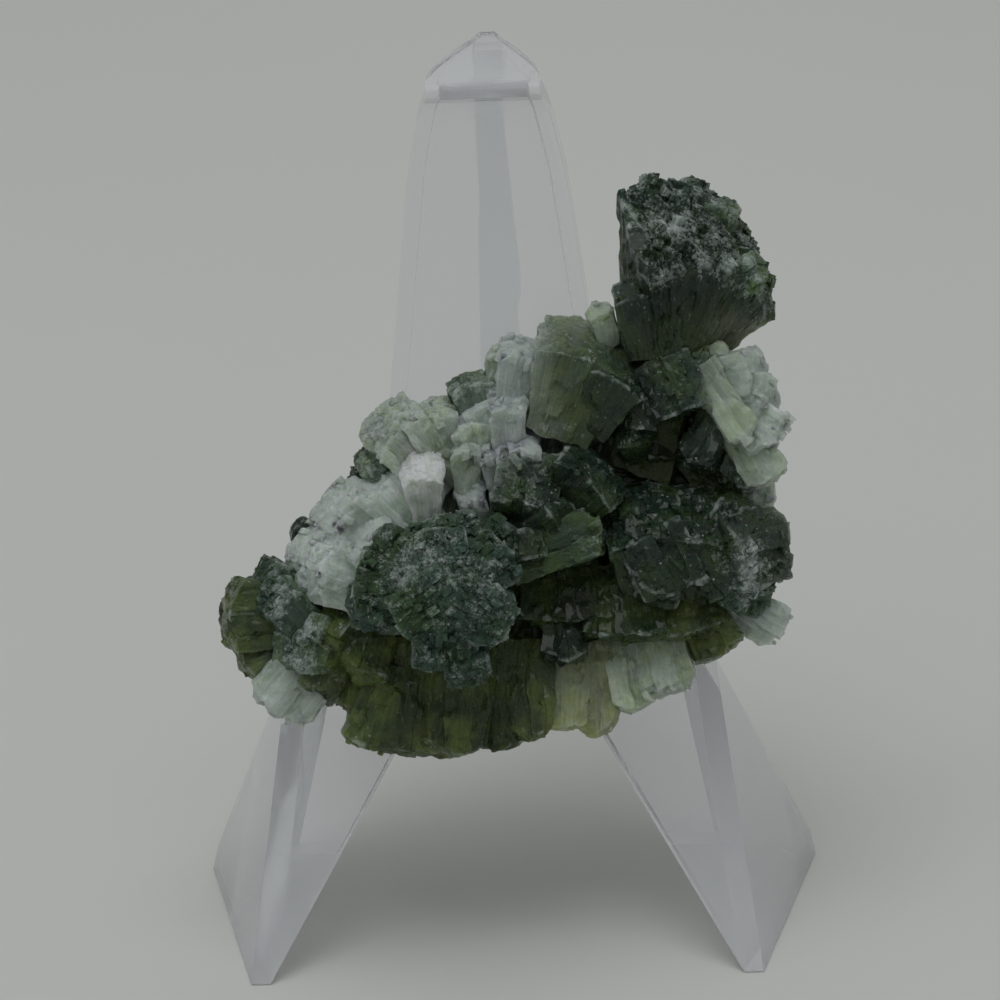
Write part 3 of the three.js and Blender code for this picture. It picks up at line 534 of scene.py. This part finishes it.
    # painted glints: bright dots on the small ends and short pale strokes along the growth lines, most of
    # them near the crowns
    painted_glint_dot = scaled(0.3, 0.12, 0, 0.9, ends.outputs["Distance"])
    painted_glints = maths("MULTIPLY", maths("MULTIPLY", scaled(0.9, 0.96, 0, 1, end_pick), painted_glint_dot), near_crown)
    dashes_place = add(tree, "ShaderNodeMapping", {"Vector": grain, "Scale": (1, 1, 0.2)}).outputs[0]
    painted_glint_dashes = scaled(0.69, 0.76, 0, 0.75, cloud(dashes_place, 0.13, 2, 0.5))
    painted_glint_scratches = maths("MULTIPLY", painted_glint_dashes, scaled(0.4, 0.6, 0.1, 1, patches))
    # the crust is the crystal's own colour; the edge lines, glints and pale strokes mixed in with it are
    # painted light
    pale = maths("MAXIMUM", maths("MAXIMUM", crust, painted_edge_highlight), maths("MAXIMUM", painted_glints, painted_glint_scratches))
    crust_and_glint_colour = tint(grit, (*linear("#9fada6"), 1), (*linear("#d3dcd7"), 1))
    colour = tint(pale, lined, crust_and_glint_colour)
    tree.links.new(colour, skin.inputs["Base Color"])

    matt = scaled(0, 1, 0.5, 0.14, gloss)
    worn = maths("ADD", matt, scaled(0.3, 0.7, -0.1, 0.15, crumbs))
    crust_and_glint_roughness = add(tree, "ShaderNodeMix", {0: pale, 2: worn, 3: 0.65}).outputs[0]
    tree.links.new(crust_and_glint_roughness, skin.inputs["Roughness"])
    tree.links.new(milk, skin.inputs["Subsurface Weight"])
    skin.inputs["Subsurface Radius"].default_value = (0.9, 1.0, 0.7)
    skin.inputs["Subsurface Scale"].default_value = 1.8 * MM
    skin.inputs["IOR"].default_value = 1.62
    skin.inputs["Specular IOR Level"].default_value = 0.22

    # over the fine relief the faces keep their glassy polish, but for where crust, painted glints and
    # painted edge lines lie on them
    polish = maths("MULTIPLY", maths("SUBTRACT", 1.0, pale, clamp=True), scaled(0.5, 1, 0.06, 0.45, gloss))
    tree.links.new(polish, skin.inputs["Coat Weight"])
    skin.inputs["Coat Roughness"].default_value = 0.09
    skin.inputs["Coat IOR"].default_value = 1.62

    # each small end is tilted its own way; growth lines and crumbs give the finest relief
    tilt = add(tree, "ShaderNodeVectorMath", {0: ends.outputs["Color"], 1: (0.5, 0.5, 0.5)},
               operation="SUBTRACT").outputs[0]
    tilted = add(tree, "ShaderNodeVectorMath", {0: tilt, "Scale": maths("MULTIPLY", near_crown, 0.4)},
                 operation="SCALE").outputs[0]
    grooves = {"Height": lines, "Strength": 0.8, "Distance": 0.14 * MM}
    grooved = add(tree, "ShaderNodeBump", grooves).outputs[0]
    grains = {"Height": maths("ADD", crumbs, maths("MULTIPLY", grit, 0.5)), "Strength": 0.9,
              "Distance": 0.22 * MM, "Normal": grooved}
    grained = add(tree, "ShaderNodeBump", grains).outputs[0]
    leaned = add(tree, "ShaderNodeVectorMath", {0: grained, 1: tilted}, operation="ADD").outputs[0]
    facing = add(tree, "ShaderNodeVectorMath", {0: leaned}, operation="NORMALIZE").outputs[0]
    tree.links.new(facing, skin.inputs["Normal"])
    return material


def moulded_clear_plastic():
    """Clear polystyrene, moulded and polished: see-through, with the faint ripple that the mould left."""
    material, tree, skin = new_material("moulded_clear_plastic")
    place = add(tree, "ShaderNodeTexCoord").outputs["Object"]
    flow = add(tree, "ShaderNodeTexNoise", {"Vector": place, "Scale": 160.0, "Detail": 2.0}).outputs[0]
    rough = add(tree, "ShaderNodeMapRange", {0: flow, 3: 0.03, 4: 0.1}).outputs[0]
    tree.links.new(rough, skin.inputs["Roughness"])
    ripple = add(tree, "ShaderNodeBump", {"Height": flow, "Strength": 0.1, "Distance": 0.2 * MM}).outputs[0]
    tree.links.new(ripple, skin.inputs["Normal"])
    skin.inputs["Base Color"].default_value = (*linear("#fcfdff"), 1)
    # a lower index than polystyrene's own 1.59, which turned the tips of the feet black
    skin.inputs["IOR"].default_value = 1.3
    # the feet are scuffed from shelves, and the plastic is clearer the higher it gets up to the ledge
    height = add(tree, "ShaderNodeSeparateXYZ", {0: place}).outputs[2]
    rise = {0: height, 1: 0.5 * MM, 2: 20 * MM, 3: 0.6, 4: 0.96}
    scuffed = add(tree, "ShaderNodeMapRange", rise).outputs[0]
    # and the bend at the top has gone a little cloudy
    bend = {0: height, 1: 60 * MM, 2: 62 * MM, 3: 1, 4: 0.8}
    bent = add(tree, "ShaderNodeMapRange", bend).outputs[0]
    clear = add(tree, "ShaderNodeMath", {0: scuffed, 1: bent}, operation="MULTIPLY").outputs[0]
    tree.links.new(clear, skin.inputs["Transmission Weight"])
    depth = add(tree, "ShaderNodeVolumeAbsorption", {"Color": (0.8, 0.9, 1.0, 1), "Density": 5.0})
    tree.links.new(depth.outputs[0], tree.nodes["Material Output"].inputs["Volume"])
    return material


# Prehnite cluster

def facet_height(spot, size):
    """Relief of crystal ends: the ground is split into cells, each a small plane with its own tilt."""
    seed = noise.voronoi(spot / size)[1][0]
    lean = noise.cell_vector(seed * 3.7) * 2 - Vector((1, 1, 1))
    return lean.z * size * 0.22 + (spot / size - seed).dot(lean) * size * 0.5


class Sheaf:
    """One sheaf: its own axes, its crown and the books of plates that it is made of."""

    def __init__(self, number, habit, root, crown, widths, depth, turn, slant, arc=CROWN_ARC):
        self.rng = random.Random(1000 + number)
        self.habit = HABITS[habit]
        self.start = Vector(root)
        reach = Vector(crown) - self.start
        self.length = reach.length
        self.aim = reach.normalized()
        across = self.aim.cross(Vector((0, 1, 0))).normalized()
        self.across = Matrix.Rotation(math.radians(turn), 3, self.aim) @ across
        self.deep = self.across.cross(self.aim).normalized()
        self.widths = [w * FULLER for w in widths]
        self.depth = depth * FULLER
        self.slant = slant
        self.arc = arc
        self.light = self.rng.uniform(0.86, 1.14)
        self.wander = Vector((number * 7.3, number * 3.1, number * 5.7))
        self.books = self.split_into_books()

    def look(self):
        """Tone, inner colour, frost, milk, gloss and clearness in one row; clearness is how much lighter
        the thin edges are painted, as painted light.
        """
        habit = self.habit
        return [*linear(habit["tone"]), *linear(habit["inner"]),
                habit["frost"], habit["milk"], habit["gloss"], habit["clear"]]

    def split_into_books(self):
        """Books of plates side by side: from, to, how far the crown and the flat front stand off."""
        ragged = self.habit["ragged"]
        books = []
        at = -1.0
        while at < 1 - 1e-6:
            wide = 2 * self.habit["book"] * self.rng.uniform(0.5, 1.6) / self.widths[1]
            to = at + wide
            if to > 1 - wide * 0.5:
                to = 1.0
            lift = self.rng.gauss(0, 0.42) * ragged
            out = self.rng.gauss(0, 0.13)
            books.append((at, to, lift, out, self.light * self.rng.uniform(0.88, 1.12)))
            at = to
        return books

    def half_width(self, share):
        return 0.5 * (self.widths[0] + (self.widths[1] - self.widths[0]) * min(max(share, 0), 1) ** 1.1)

    def half_depth(self, share):
        return 0.5 * self.depth * (0.86 + 0.14 * min(max(share, 0), 1))

    def crown_height(self, a, b, lift):
        """Height of the crown over a point of the section, with its broken relief."""
        edge = max(abs(a), abs(b))
        soft = min(max((edge - 0.66) / 0.34, 0), 1) ** 2 * self.habit["soft"]
        spot = self.wander + Vector((a * self.widths[1] / 2, b * self.depth / 2, 0))
        broken = noise.noise(spot * 0.6) * 0.7 + facet_height(spot, 2.0) * 1.1
        broken += facet_height(spot, 0.8) * 0.6
        return (self.length - self.arc * self.length * a * a + b / 2 * self.slant
                - soft + lift + broken * self.habit["ragged"])

    def point(self, a, b, share, lift, out):
        """A point of the sheaf: a across and b through run from -1 to 1, share from root to crown."""
        full = self.habit["round"]
        x = a * math.sqrt(1 - full * b * b / 2)
        y = b * math.sqrt(1 - full * a * a / 2)
        height = share * self.crown_height(a, b, lift)
        side = x * self.half_width(share)
        front = y * self.half_depth(share)
        if max(abs(a), abs(b)) > 0.999:
            spot = self.wander + Vector((side, front, height * 0.35))
            swell = 0.16 * noise.noise(spot * 0.9) + 0.07 * noise.noise(spot * 2.6)
            side += x * swell
            front += y * swell
            if abs(b) > 0.999:
                front += b * out * share
        return self.start + self.across * side + self.aim * height + self.deep * front


def add_closed(collection, name, corners, faces, marks):
    """Adds a closed mesh whose faces carry a number each."""
    mesh = bpy.data.meshes.new(name)
    mesh.from_pydata([SHOWING @ corner for corner in corners], [], faces)
    mesh.attributes.new("plate", "INT", "FACE").data.foreach_set("value", marks)
    shell = bmesh.new()
    shell.from_mesh(mesh)
    bmesh.ops.recalc_face_normals(shell, faces=shell.faces)
    shell.to_mesh(mesh)
    shell.free()
    collection.objects.link(bpy.data.objects.new(name, mesh))


def add_sheaf(collection, sheaf, owners):
    """Builds one sheaf: rings up its sides and a broken crown, stepped where one book meets the next."""
    columns = []
    for at, to, lift, out, light in sheaf.books:
        steps = max(1, round((to - at) * sheaf.widths[1] / 2 / GRID_ACROSS))
        sliver = min(0.02 / sheaf.widths[1], (to - at) * 0.1)
        inner = [at + (to - at) * i / steps for i in range(steps + 1)]
        inner[0] += sliver if at > -1 else 0
        inner[-1] -= sliver if to < 1 else 0
        columns += [(a, lift, out, len(owners)) for a in inner]
        owners.append((sheaf, light))
    deep_steps = max(4, round(sheaf.depth / GRID_DEEP))
    rows = [-math.cos(math.pi * j / deep_steps) * 0.35 + (2 * j / deep_steps - 1) * 0.65
            for j in range(deep_steps + 1)]
    last = len(columns) - 1
    corners, faces, marks = [], [], []
    cap = {}
    for i, (a, lift, out, _) in enumerate(columns):
        for j, b in enumerate(rows):
            cap[i, j] = len(corners)
            corners.append(sheaf.point(a, b, 1, lift, out))
    for i in range(last):
        for j in range(deep_steps):
            faces.append([cap[i, j], cap[i + 1, j], cap[i + 1, j + 1], cap[i, j + 1]])
            marks.append(columns[i][3])
    border = [(i, 0) for i in range(last)] + [(last, j) for j in range(deep_steps)]
    border += [(i, deep_steps) for i in range(last, 0, -1)] + [(0, j) for j in range(deep_steps, 0, -1)]
    above = [cap[key] for key in border]
    near = 1 - CROWN_EDGE / sheaf.length
    for share in (near, 0.9 * near, *LOWER_RINGS):
        ring = []
        for i, j in border:
            a, lift, out, _ = columns[i]
            ring.append(len(corners))
            corners.append(sheaf.point(a, rows[j], share, lift, out))
        for k, (i, j) in enumerate(border):
            n = (k + 1) % len(border)
            faces.append([above[k], above[n], ring[n], ring[k]])
            marks.append(columns[min(i, border[n][0])][3])
        above = ring
    faces.append(above)
    marks.append(columns[0][3])
    add_closed(collection, "sheaf", corners, faces, marks)


def add_chips(collection, sheaf, owners):
    """Small plates that stand out of a crown, at the sheaf's own angle or a little off it."""
    rng = sheaf.rng
    area = sheaf.widths[1] * sheaf.depth
    for _ in range(round(area * sheaf.habit["chips"])):
        a, b = rng.uniform(-0.85, 0.85), rng.uniform(-0.95, 0.8)
        foot = sheaf.point(a, b, 1, 0, 0)
        turn = Matrix.Rotation(rng.gauss(0, 0.3), 3, sheaf.aim)
        turn = turn @ Matrix.Rotation(rng.gauss(0, 0.22), 3, sheaf.deep)
        x, y, z = turn @ sheaf.across, turn @ sheaf.deep, turn @ sheaf.aim
        wide, through, high = rng.uniform(0.15, 0.4), rng.uniform(0.3, 0.9), rng.uniform(0.05, 0.26)
        corners = []
        for up in (-0.8, high):
            for i, j in ((-1, -1), (1, -1), (1, 1), (-1, 1)):
                shrink = 1 if up < 0 else rng.uniform(0.6, 1)
                corners.append(foot + x * (i * wide * shrink) + y * (j * through * shrink)
                               + z * (up + (rng.uniform(-0.12, 0.12) if up > 0 else 0)))
        faces = [[3, 2, 1, 0], [4, 5, 6], [4, 6, 7]]
        for i in range(4):
            n = (i + 1) % 4
            faces += [[i, n, 4 + n], [i, 4 + n, 4 + i]]
        add_closed(collection, "chip", corners, faces, [len(owners)] * len(faces))
        owners.append((sheaf, sheaf.light * rng.uniform(0.9, 1.25)))


def bearing_rooms():
    """The room that the easel takes, with the gap left round it, as closed convex blocks."""
    rooms = bpy.data.collections.new("rooms")
    bpy.context.scene.collection.children.link(rooms)
    front, top = LEDGE_FRONT - BEARING_GAP, LEDGE_TOP + BEARING_GAP
    sides = (-LEDGE_HALF, LEDGE_HALF)
    blocks = [
        [(x, y, z) for x in sides for y in (front, ROOM_END) for z in (top, LEDGE_TOP - LEDGE_DEPTH)],
        [(x, y, LEDGE_TOP) for x in sides for y in (front, ROOM_END)]
        + [(x, y, 0) for x in (-FEET_HALF, FEET_HALF) for y in (-BEARING_GAP, ROOM_END)],
    ]
    for (low, low_half), (high, high_half) in zip(BACK_OUTLINE, BACK_OUTLINE[1:]):
        blocks.append([(side * (half + BEARING_GAP), y, height)
                       for height, half in ((low, low_half), (high, high_half)) for side in (-1, 1)
                       for y in (BACK_START + BACK_LEAN * (height - LEDGE_TOP) - BEARING_GAP, ROOM_END)])
    for block in blocks:
        mesh = bpy.data.meshes.new("room")
        hull = bmesh.new()
        for corner in block:
            hull.verts.new((EASEL_ORIGIN + Vector(corner)) * MM)
        bmesh.ops.convex_hull(hull, input=hull.verts)
        bmesh.ops.recalc_face_normals(hull, faces=hull.faces)
        hull.to_mesh(mesh)
        hull.free()
        mesh.attributes.new("plate", "INT", "FACE")
        rooms.objects.link(bpy.data.objects.new("room", mesh))
    return rooms


def combine(piece, others, operation):
    """Joins a collection of closed meshes to the piece, or takes them out of it, and clears them away."""
    make_active(piece)
    step = piece.modifiers.new("combine", "BOOLEAN")
    step.operation = operation
    step.operand_type = "COLLECTION"
    step.collection = others
    step.solver = "MANIFOLD"
    bpy.ops.object.modifier_apply(modifier=step.name)
    for mesh in [other.data for other in others.objects]:
        bpy.data.meshes.remove(mesh)
    bpy.data.collections.remove(others)


def grow_cluster(material):
    """Grows all sheaves, joins them into one closed mesh and marks it for the finish."""
    grown = bpy.data.collections.new("grown")
    bpy.context.scene.collection.children.link(grown)
    owners = []
    sheaves = [Sheaf(number, *crystal) for number, crystal in enumerate(CRYSTALS)]
    for sheaf in sheaves:
        add_sheaf(grown, sheaf, owners)
        add_chips(grown, sheaf, owners)
    cluster = grown.objects[0]
    grown.objects.unlink(cluster)
    bpy.context.scene.collection.objects.link(cluster)
    combine(cluster, grown, "UNION")
    combine(cluster, bearing_rooms(), "DIFFERENCE")
    cluster.name = "prehnite_cluster"
    cluster.data.name = "prehnite_cluster"
    keep_outer_shell(cluster)
    roughen(cluster)
    ends = small_crystals(cluster, owners)
    for piece in (cluster, ends):
        mark_growth(piece, owners, sheaves)
        piece.data.materials.clear()
        piece.data.materials.append(material)
        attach(piece, "root")
    make_active(cluster)
    bpy.ops.object.shade_smooth_by_angle(angle=STONE_SMOOTH)
    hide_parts("prehnite")


def keep_outer_shell(piece):
    """Drops closed pockets and loose chips, which nobody can see, and keeps the largest shell."""
    shell = bmesh.new()
    shell.from_mesh(piece.data)
    seen = set()
    groups = []
    # faces are taken in the mesh's own order, so that every run leaves them in the same order
    for first in list(shell.faces):
        if first in seen:
            continue
        seen.add(first)
        group = [first]
        for reached in group:
            for edge in reached.edges:
                for face in edge.link_faces:
                    if face not in seen:
                        seen.add(face)
                        group.append(face)
        groups.append(group)
    groups.sort(key=len, reverse=True)
    loose = [face for group in groups[1:] for face in group]
    bmesh.ops.delete(shell, geom=loose, context="FACES")
    bmesh.ops.triangulate(shell, faces=shell.faces)
    shell.to_mesh(piece.data)
    shell.free()


def roughen(piece):
    """Splits the long edges and lets the whole surface wander a little, as a grown surface does."""
    shell = bmesh.new()
    shell.from_mesh(piece.data)
    for _ in range(2):
        long_edges = [edge for edge in shell.edges if edge.calc_length() > LONGEST_EDGE * MM]
        bmesh.ops.subdivide_edges(shell, edges=long_edges, cuts=1)
        bmesh.ops.triangulate(shell, faces=shell.faces)
    shell.normal_update()
    noise.seed_set(NOISE_SEED)
    for vert in shell.verts:
        spot = vert.co / MM
        wander = noise.noise_vector(spot * 0.55) * BROAD_WANDER
        wander += noise.noise_vector(spot * 1.7) * FINE_WANDER
        wander += vert.normal * facet_height(spot, 1.4) * FACET_WANDER
        vert.co += wander * MM
    shell.to_mesh(piece.data)
    shell.free()


def unit(rows):
    """Rows of vectors, each made one long."""
    return rows / np.linalg.norm(rows, axis=1, keepdims=True)


def near_easel(spots):
    """True for spots, in easel millimetres, at which small crystals would reach the easel."""
    x, y, z = spots.T
    heights, halves = np.array(BACK_OUTLINE).T
    on_ledge = (y > LEDGE_FRONT - BLADE_ROOM) & (z < LEDGE_TOP + BLADE_ROOM_ABOVE)
    behind = y > BACK_START + BACK_LEAN * (z - LEDGE_TOP) - BLADE_ROOM
    beside = np.abs(x) < np.interp(z, heights, halves) + BLADE_ROOM
    return on_ledge | (behind & beside)


def small_crystals(cluster, owners):
    """The last growth: small blades that stand out of the crowns, each broken off in its own way."""
    mesh = cluster.data
    rng = np.random.default_rng(17)
    count = len(mesh.polygons)
    back, turned = np.array(SHOWING.inverted()), np.array(SHOWING)

    def of_face(key, width):
        values = np.empty(count * width, dtype=np.float32)
        mesh.polygons.foreach_get(key, values)
        return values.reshape(count, width)

    centre, facing, area = of_face("center", 3), of_face("normal", 3), of_face("area", 1)[:, 0]
    owner = np.empty(count, dtype=np.int32)
    mesh.attributes["plate"].data.foreach_get("value", owner)

    def of_owner(value, faces):
        return np.array([value(sheaf) for sheaf, light in owners])[owner[faces]]

    def between(low, high):
        return rng.uniform(low, high, (BLADES, 1))

    along = (unit(facing @ back[:3, :3].T) * of_owner(lambda s: tuple(s.aim), slice(None))).sum(1)
    free = ~near_easel(centre / MM - np.array(EASEL_ORIGIN))
    share = area * free * (along > 0.5) * of_owner(lambda s: s.habit["blades"], slice(None))
    chosen = rng.choice(count, BLADES, p=share / share.sum())
    at = centre[chosen] @ back[:3, :3].T + back[:3, 3] + rng.normal(0, 0.12, (BLADES, 3))

    # narrow across the sheaf, wider in its depth, and never past the sheaf's own sides
    size = between(0.6, 1.5)
    wide, long = between(0.1, 0.3) * size, between(0.2, 0.5) * size
    across, deep = of_owner(lambda s: tuple(s.across), chosen), of_owner(lambda s: tuple(s.deep), chosen)
    reach = of_owner(lambda s: (s.widths[1] / 2, s.depth / 2), chosen)
    offset = at - of_owner(lambda s: tuple(s.start), chosen)
    for axis, half, side in ((across, wide, reach[:, :1]), (deep, long, reach[:, 1:])):
        off = (offset * axis).sum(1, keepdims=True)
        limit = np.maximum(side * 0.9 - half, 0)
        at = at + axis * (np.clip(off, -limit, limit) - off)
    aim = unit(of_owner(lambda s: tuple(s.aim), chosen) + rng.normal(0, 0.06, (BLADES, 3)))
    deep = unit(np.cross(across + rng.normal(0, 0.12, (BLADES, 3)), aim))
    across = np.cross(aim, deep)
    tall = between(-0.05, 0.12) * (0.6 + 1.2 * of_owner(lambda s: s.habit["ragged"], chosen)[:, None])
    corners = []
    for top in (0, 1):
        for i, j in ((-1, -1), (1, -1), (1, 1), (-1, 1)):
            rise = tall + rng.normal(0, 0.04, tall.shape) if top else -0.6
            corners.append(at + (across * wide * i + deep * long * j) * (1 - 0.12 * top) + aim * rise)
    points = np.stack(corners, axis=1).reshape(-1, 3) @ turned[:3, :3].T + turned[:3, 3]
    box = np.array([[0, 2, 1], [0, 3, 2], [4, 5, 6], [4, 6, 7], [0, 1, 5], [0, 5, 4], [1, 2, 6], [1, 6, 5],
                    [2, 3, 7], [2, 7, 6], [3, 0, 4], [3, 4, 7]])
    faces = (np.arange(BLADES)[:, None, None] * 8 + box).reshape(-1, 3)
    marks = np.repeat(np.arange(BLADES) + len(owners), len(box)).astype(np.int32)
    for face in chosen:
        sheaf, light = owners[owner[face]]
        owners.append((sheaf, light * rng.uniform(0.85, 1.3)))

    blades = bpy.data.meshes.new("small_crystals")
    blades.from_pydata(points.tolist(), [], faces.tolist())
    blades.attributes.new("plate", "INT", "FACE").data.foreach_set("value", marks)
    shell = bmesh.new()
    shell.from_mesh(blades)
    bmesh.ops.recalc_face_normals(shell, faces=shell.faces)
    shell.to_mesh(blades)
    shell.free()
    piece = bpy.data.objects.new("small_crystals", blades)
    bpy.context.scene.collection.objects.link(piece)
    return piece


def run_together(local, sheaves):
    """What the crystals round each spot look like on the whole, nearer ones counting for more."""
    shares = (0.45, 0.75, 1.0)
    spots = np.array([tuple(s.start + s.aim * s.length * share) for s in sheaves for share in shares])
    looks = np.sqrt(np.array([s.look() for s in sheaves for _ in shares]))
    result = np.empty((len(local), looks.shape[1]))
    for at in range(0, len(local), 20000):
        part = local[at:at + 20000, None, :] - spots[None]
        weights = np.exp(-(part ** 2).sum(2) / (2 * MINGLE_REACH ** 2)) + 1e-9
        result[at:at + 20000] = (weights @ looks / weights.sum(1, keepdims=True)) ** 2
    return result


def mark_growth(piece, owners, sheaves):
    """Stores on every face corner which habit it has and where it lies in its own sheaf."""
    mesh = piece.data
    number = np.empty(len(mesh.polygons), dtype=np.int32)
    mesh.attributes["plate"].data.foreach_get("value", number)
    totals = np.empty(len(mesh.polygons), dtype=np.int32)
    mesh.polygons.foreach_get("loop_total", totals)
    owner = np.repeat(number, totals)
    at = np.empty(len(mesh.loops), dtype=np.int32)
    mesh.loops.foreach_get("vertex_index", at)
    points = np.empty(len(mesh.vertices) * 3, dtype=np.float32)
    mesh.vertices.foreach_get("co", points)
    back = np.array(SHOWING.inverted())
    local = points.reshape(-1, 3) @ back[:3, :3].T + back[:3, 3]
    around = run_together(local, sheaves)[at]
    local = local[at]

    def of_owner(value):
        return np.array([value(sheaf) for sheaf, light in owners])[owner]

    offset = local - of_owner(lambda s: tuple(s.start))
    height = (offset * of_owner(lambda s: tuple(s.aim))).sum(1)
    across = (offset * of_owner(lambda s: tuple(s.across))).sum(1)
    deep = (offset * of_owner(lambda s: tuple(s.deep))).sum(1)
    length, crown_wide, root_wide = (of_owner(f) for f in (
        lambda s: s.length, lambda s: s.widths[1], lambda s: s.widths[0]))
    share = np.clip(height / length, 0, 1.1)
    width = root_wide + (crown_wide - root_wide) * np.clip(share, 0.1, 1) ** 1.1
    a = across / width * 2
    b = deep / of_owner(lambda s: s.depth) * 2
    grain = np.stack([a * crown_wide / 2 + 17.0 * owner, deep, height], axis=1)
    crown = length * (1 - of_owner(lambda s: s.arc) * a * a) + b / 2 * of_owner(lambda s: s.slant)
    rim = np.stack([(1 - np.abs(a)) * crown_wide / 2, (1 - np.abs(b)) * of_owner(lambda s: s.depth) / 2,
                    crown - height], axis=1)
    mesh.attributes.new("grain", "FLOAT_VECTOR", "CORNER").data.foreach_set("vector", grain.ravel())
    mesh.attributes.new("rim", "FLOAT_VECTOR", "CORNER").data.foreach_set("vector", rim.ravel())

    own = np.array([sheaf.look() for sheaf, light in owners])[owner]
    light = np.array([light for sheaf, light in owners])[owner][:, None]
    look = own * (1 - MINGLE) + around * MINGLE
    look[:, :6] *= light
    crust = sum(thick * np.exp(-((local - np.array(spot)) ** 2).sum(1) / reach ** 2)
                for spot, reach, thick in CRUST)
    look[:, 6] += crust
    look[:, 7] += crust * 0.5
    pale = np.clip(crust, 0, 1)[:, None] * 0.35
    look[:, :3] += (np.array(linear("#9aa9a0")) - look[:, :3]) * pale
    solid = np.ones((len(owner), 1))
    for name, columns in (("tone", look[:, :3]), ("inner", look[:, 3:6]), ("finish", look[:, 6:9])):
        layer = mesh.attributes.new(name, "FLOAT_COLOR", "CORNER")
        colours = np.hstack((np.clip(columns, 0, 1), solid)).astype(np.float32)
        layer.data.foreach_set("color", colours.ravel())
    # clearness: how much lighter the thin edges are painted, as painted light
    mesh.attributes.new("clear", "FLOAT", "CORNER").data.foreach_set("value", look[:, 9].astype(np.float32))
    mesh.attributes.remove(mesh.attributes["plate"])


# Easel

def clear_easel(material):
    """The moulding: the solid's own shape with every edge softened, as a mould leaves it."""
    mesh = frame["nodes"]["easel"].data.copy()
    easel = bpy.data.objects.new("clear_easel", mesh)
    mesh.name = "clear_easel"
    bpy.context.scene.collection.objects.link(easel)
    make_active(easel)
    bpy.ops.object.mode_set(mode="EDIT")
    bpy.ops.mesh.select_all(action="SELECT")
    bpy.ops.mesh.remove_doubles(threshold=EASEL_WELD * MM)
    bpy.ops.mesh.dissolve_limited(angle_limit=EASEL_FLAT)
    bpy.ops.object.mode_set(mode="OBJECT")
    soften = easel.modifiers.new("soft_edges", "BEVEL")
    soften.width = EASEL_EDGE * MM
    soften.segments = 3
    soften.limit_method = "ANGLE"
    soften.angle_limit = EASEL_SHARP
    bpy.ops.object.modifier_apply(modifier=soften.name)
    bpy.ops.object.shade_smooth_by_angle(angle=EASEL_SMOOTH)
    mesh.materials.clear()
    mesh.materials.append(material)
    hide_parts("easel")
    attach(easel, "root")


place_camera()
light_the_table()
table_floor(painted_table())
grow_cluster(grown_prehnite())
clear_easel(moulded_clear_plastic())
